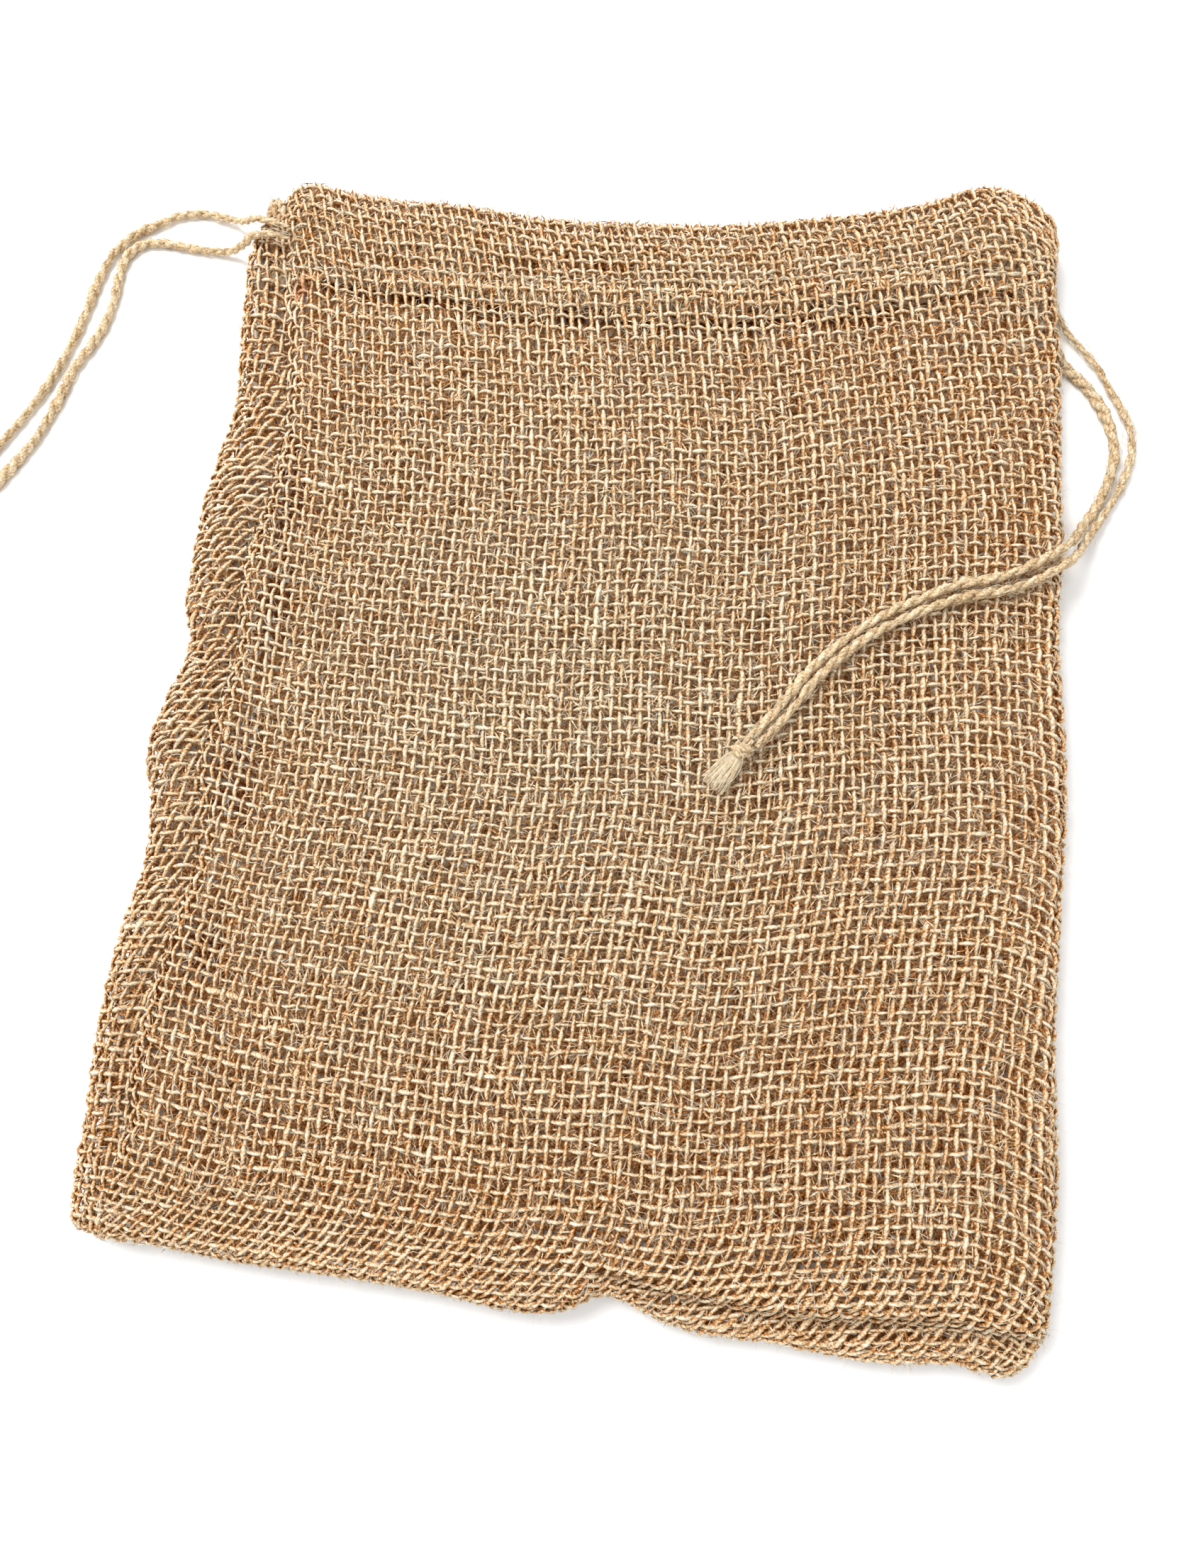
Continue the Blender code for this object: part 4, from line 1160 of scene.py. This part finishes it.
# The casing's hem is held by one row of lockstitch in fine jute thread, just above its foot:
# the thread lies on the cloth for most of a stitch and dips through it at each end.
STITCHED = (-87.0, 97.0)
STITCH = 3.1
STITCH_STEPS = 8
STITCH_UNEVEN = 0.10
STITCH_ABOVE = 2.2
STITCH_WAVERS = 0.22
STITCH_CREST = 0.88
STITCH_DIP = 1.5
STITCH_ROUGH = 0.05
THREAD = 0.15
THREAD_TONE = 0.85
rng = np.random.default_rng(90)
stitches = int((STITCHED[1] - STITCHED[0]) / STITCH)
turn = np.linspace(0, stitches, stitches * STITCH_STEPS + 1)
across = STITCHED[0] + STITCH * (turn + STITCH_UNEVEN * wander(rng, 1, len(turn), stitches // 2)[0])
up = smooth(CASING_FOOT, "x", "y", across) + STITCH_ABOVE
up = up + STITCH_WAVERS * wander(rng, 1, len(turn), stitches)[0]
height = STITCH_CREST - STITCH_DIP * np.abs(np.cos(np.pi * turn)) ** 6
height = height + STITCH_ROUGH * rng.normal(size=len(turn))
normal = facing(FRONT, across, up)
thread = FRONT["place"](across, up) + normal * height[:, None]
thick = np.full((1, len(turn)), THREAD)
thread = tubes(thread[None], normal[None], thick, thick, thick * 0 + THREAD_TONE, YARN_SIDES)
stitching = jute_piece("hem_stitches", [thread], twine_jute)
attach(stitching, "root")


# The back panel lies flat on the table. It reaches from the right fold to the left edge.
BACK_LIFT = 0.03


def back(across, up):
    """Middle of the back cloth: flat on the table, turning up at its sides and bottom."""
    y, turned, under, _, _ = edges_of(across, up)
    left = smooth(SIDES, "y", "left", y) + RIM
    right = smooth(SIDES, "y", "right", y) - RIM
    angle = (np.clip((across - right) / ARC, 0, 1) - np.clip((left - across) / ARC, 0, 1)) * np.pi / 2
    x = np.clip(across, left, right) + (RIM - SKIN - under) * np.sin(angle)
    low = (RIM_HEIGHT - SKIN - BACK_LIFT) * np.cos(angle) * np.cos(turned)
    z = RIM_HEIGHT - low + under * np.cos(angle)
    return np.stack([x, y, z], axis=-1)


def back_has(across, up):
    """Whether the flat point is on the back cloth."""
    y, _, _, over, edge = edges_of(across, up)
    on = across >= smooth(SIDES, "y", "left", y) + RIM - ARC
    on &= across <= smooth(SIDES, "y", "right", y) - RIM + ARC
    return on & (up >= edge - ARC) & (over <= np.pi * HEM_ROUND + HEM_LONG)


# Its yarns lie between the front's, half a pitch aside, as the empty sack has settled. They
# spread from SETTLED, so that each hole of the front has a yarn of the back in it.
SETTLED = (27.2, -62.9)
SPREAD = 1.029
HALF_WEFT = WEFT_MEAN_PITCH / 2
LEANS_DOWN_TO = -108


def follow_back(level, across):
    """The front's wefts half a pitch on, spread from the settled point."""
    across = SETTLED[0] + (across - SETTLED[0]) / SPREAD
    return SETTLED[1] + (follow_front(level + HALF_WEFT, across) - SETTLED[1]) * SPREAD


def lean_back(up):
    """The front's warps half a pitch on, spread from the settled point."""
    up = np.maximum(SETTLED[1] + (up - SETTLED[1]) / SPREAD, LEANS_DOWN_TO)
    return SPREAD * (np.interp(up, heights, leaned) + WARP_PITCH / 2) + (1 - SPREAD) * SETTLED[0]


# Painted shade: its under darkens the side of its yarns that faces up into the sack.
BACK = {
    "place": back, "has": back_has, "follow": follow_back, "pitch": WARP_PITCH * SPREAD,
    "lean": lean_back, "across": (-106.0, 105.0), "up": (-131.0, 156.0), "outward": -1, "wide": 1.35,
    "under": 0.30, "inset": 0.0, "seen": (2.0, -5.0),
}
BACK_STRIPS = [-100.0, 0.0, 101.0]
BACK_BITS = 5000
strips = weave(BACK, COARSE_STEPS, 30, BACK_STRIPS[1:-1])
for number, strip in enumerate(strips):
    left, right = BACK_STRIPS[number:number + 2]
    rng = np.random.default_rng(70 + number)
    across = rng.uniform(left, right, BACK_BITS)
    up = rng.uniform(*HAIRY, BACK_BITS)
    strip += cloth_hairs(BACK, across, up, rng, (-1.5, 0.1, 0.1), (3.0, 8.0), (0.09, 0.17), BACK_BITS)
    name = f"back_cloth_{number + 1}"
    cloth_pieces[name] = jute_piece(name, strip, cloth_jute)


# The left seam has rolled on to the front, so the back panel's cloth comes round the left
# edge and up to the seam. Its yarns slant: the warps lean over, the wefts climb to the seam.
BAND = 13.6
BAND_LEAN = {
    "y": [-128, -112, -100, -79, -46, -14, 0, 45, 60, 75, 100, 124],
    "lean": [-6, -6, 0, 8, 18, 20, 23, 25, 24, 14, 0, 0],
}
BAND_DROPS = {
    "y": [-128, -114, -100, -79, -46, -14, 0, 45, 60, 75, 124],
    "drop": [0, 0, 0.5, 1.5, 3.0, 3.5, 4.0, 3.5, 3.0, 1.0, 0],
}
BAND_HEM = 12
BAND_SPARE = 0.3
band_leaned = np.cumsum(np.tan(np.radians(smooth(BAND_LEAN, "y", "lean", heights))) * HEIGHT_STEP)


def band(across, up):
    """Middle of the cloth -across mm left of the seam: over to the left edge and down its turn."""
    y, turned, under, _, _ = edges_of(smooth(SIDES, "y", "seam", up) + across / 2, up)
    seam = smooth(SIDES, "y", "seam", y)
    left = smooth(SIDES, "y", "left", y) + RIM
    along = -across / BAND * (seam - left + ARC)
    angle = np.clip((along - seam + left) / ARC, 0, 1) * np.pi / 2
    x = seam - np.minimum(along, seam - left) - (RIM - SKIN - under) * np.sin(angle)
    top = front_top(np.maximum(x, left), y) - SKIN
    tuck = SEAM_TUCK_FALL * np.clip(across, 0, None)
    high = (top - RIM_HEIGHT) * np.cos(angle) * np.cos(turned)
    z = RIM_HEIGHT + high - under * np.cos(angle) - tuck
    return np.stack([x, y, z], axis=-1)


def band_has(across, up):
    """Whether the flat point is on the rolled band."""
    _, _, _, over, edge = edges_of(smooth(SIDES, "y", "seam", up) + across / 2, up)
    on = (across >= -BAND) & (across <= SEAM_TUCK)
    return on & (up >= edge - ARC) & (over <= np.pi * HEM_ROUND + BAND_HEM)


def follow_band(level, across):
    """How high the weft of this level runs: on from the front's at the seam, falling away from it."""
    start = follow_front(level, smooth(SIDES, "y", "seam", level))
    return start - smooth(BAND_DROPS, "y", "drop", level) * np.clip(-across / BAND, 0, 1) ** 1.25


BAND_CLOTH = {
    "place": band, "has": band_has, "follow": follow_band, "pitch": 2.2,
    "lean": lambda up: np.interp(up, heights, band_leaned), "up": (-131.0, 142.0),
    "across": (-BAND - BAND_SPARE, SEAM_TUCK + BAND_SPARE), "outward": 1, "wide": 1.05,
    "under": UNDERSIDE_PAINTED_SHADE, "inset": 0.5, "seen": (0.0, 0.0),
}
BAND_BITS = 1900
BAND_FIBRES = 500
BAND_HAIRY = (-129, 134)
BAND_MOUTH_BITS = 420
BAND_EDGE_BITS = 420
BAND_MOUTH = 125
BAND_EDGE = (-BAND, -0.66 * BAND)
BAND_RIM = (-BAND, -0.62 * BAND)
side = weave(BAND_CLOTH, FINE_STEPS, 40)[0]
rng = np.random.default_rng(80)
across = rng.uniform(-BAND, 0, BAND_BITS + BAND_FIBRES)
up = rng.uniform(*BAND_HAIRY, BAND_BITS + BAND_FIBRES)
side += cloth_hairs(BAND_CLOTH, across, up, rng, (-1.2, 0.1, 0.95), (1.5, 5.5), (0.08, 0.15), BAND_BITS)
across = rng.uniform(-BAND, 0, BAND_MOUTH_BITS)
up = BAND_MOUTH + rng.uniform(-1.0, 13.0, BAND_MOUTH_BITS)
side += cloth_hairs(BAND_CLOTH, across, up, rng, (-0.5, 0.3, 0.3), (2.5, 5.0), (0.11, 0.16), len(up))
across = rng.uniform(*BAND_EDGE, BAND_EDGE_BITS)
up = rng.uniform(*EDGE_UP, BAND_EDGE_BITS)
side += cloth_hairs(BAND_CLOTH, across, up, rng, (-0.9, -0.1, 0.3), (2.0, 5.0), (0.10, 0.15), len(up))
up = rng.uniform(*EDGE_UP, EDGE_HAIRS)
side.append(fuzz(BAND_CLOTH, rng.uniform(*BAND_RIM, EDGE_HAIRS), up, rng))
cloth_pieces["side_cloth"] = jute_piece("side_cloth", side, cloth_jute)

# Every strip is a part of one piece of hessian, and rides on the root in place of the sack's cloth part.
CUT_HEIGHT = 0.275
SIDE_CUT_HEIGHT = 0.262
for name, piece in cloth_pieces.items():
    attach(piece, "root")
    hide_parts("sack_cloth")
    height = CUT_HEIGHT if name != "side_cloth" else SIDE_CUT_HEIGHT

# Floor and light: a plain pale floor, an even white sky and one soft lamp from the upper left.
FLOOR_SIZE = 3.0
FLOOR_DROP = 0.0002
FLOOR_GREY = 0.93
FLOOR_ROUGHNESS = 0.9
bpy.ops.mesh.primitive_plane_add(size=FLOOR_SIZE, location=(0, 0, -FLOOR_DROP))
floor = bpy.context.active_object
floor.name = "floor"
paint = bpy.data.materials.new("floor")
paint.use_nodes = True
coat = paint.node_tree.nodes["Principled BSDF"]
coat.inputs["Base Color"].default_value = (FLOOR_GREY, FLOOR_GREY, FLOOR_GREY, 1)
coat.inputs["Roughness"].default_value = FLOOR_ROUGHNESS
floor.data.materials.append(paint)
floor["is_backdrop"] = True

SKY_STRENGTH = 0.95
world = bpy.data.worlds.new("studio")
world.use_nodes = True
sky = world.node_tree.nodes["Background"]
sky.inputs["Color"].default_value = (1.0, 1.0, 1.0, 1)
sky.inputs["Strength"].default_value = SKY_STRENGTH
bpy.context.scene.world = world

SOFTBOX_SIZE = 0.42
SOFTBOX_WATTS = 5.5
SOFTBOX_AT = np.array((-0.32, 0.30, 0.62))
softbox = bpy.data.lights.new("softbox", "AREA")
softbox.shape = "DISK"
softbox.size = SOFTBOX_SIZE
softbox.energy = SOFTBOX_WATTS
lamp = bpy.data.objects.new("softbox", softbox)
bpy.context.scene.collection.objects.link(lamp)
backward = unit(SOFTBOX_AT)
sideways = unit(np.cross((0, 1, 0), backward))
axes = np.stack([sideways, np.cross(backward, sideways), backward], axis=1)
lamp.matrix_world = Matrix.Translation(SOFTBOX_AT.tolist()) @ Matrix(axes.tolist()).to_4x4()
bpy.context.scene.view_settings.view_transform = "Standard"

[[list(map(float, corner)) for corner in box] for box in (cad_box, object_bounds())]
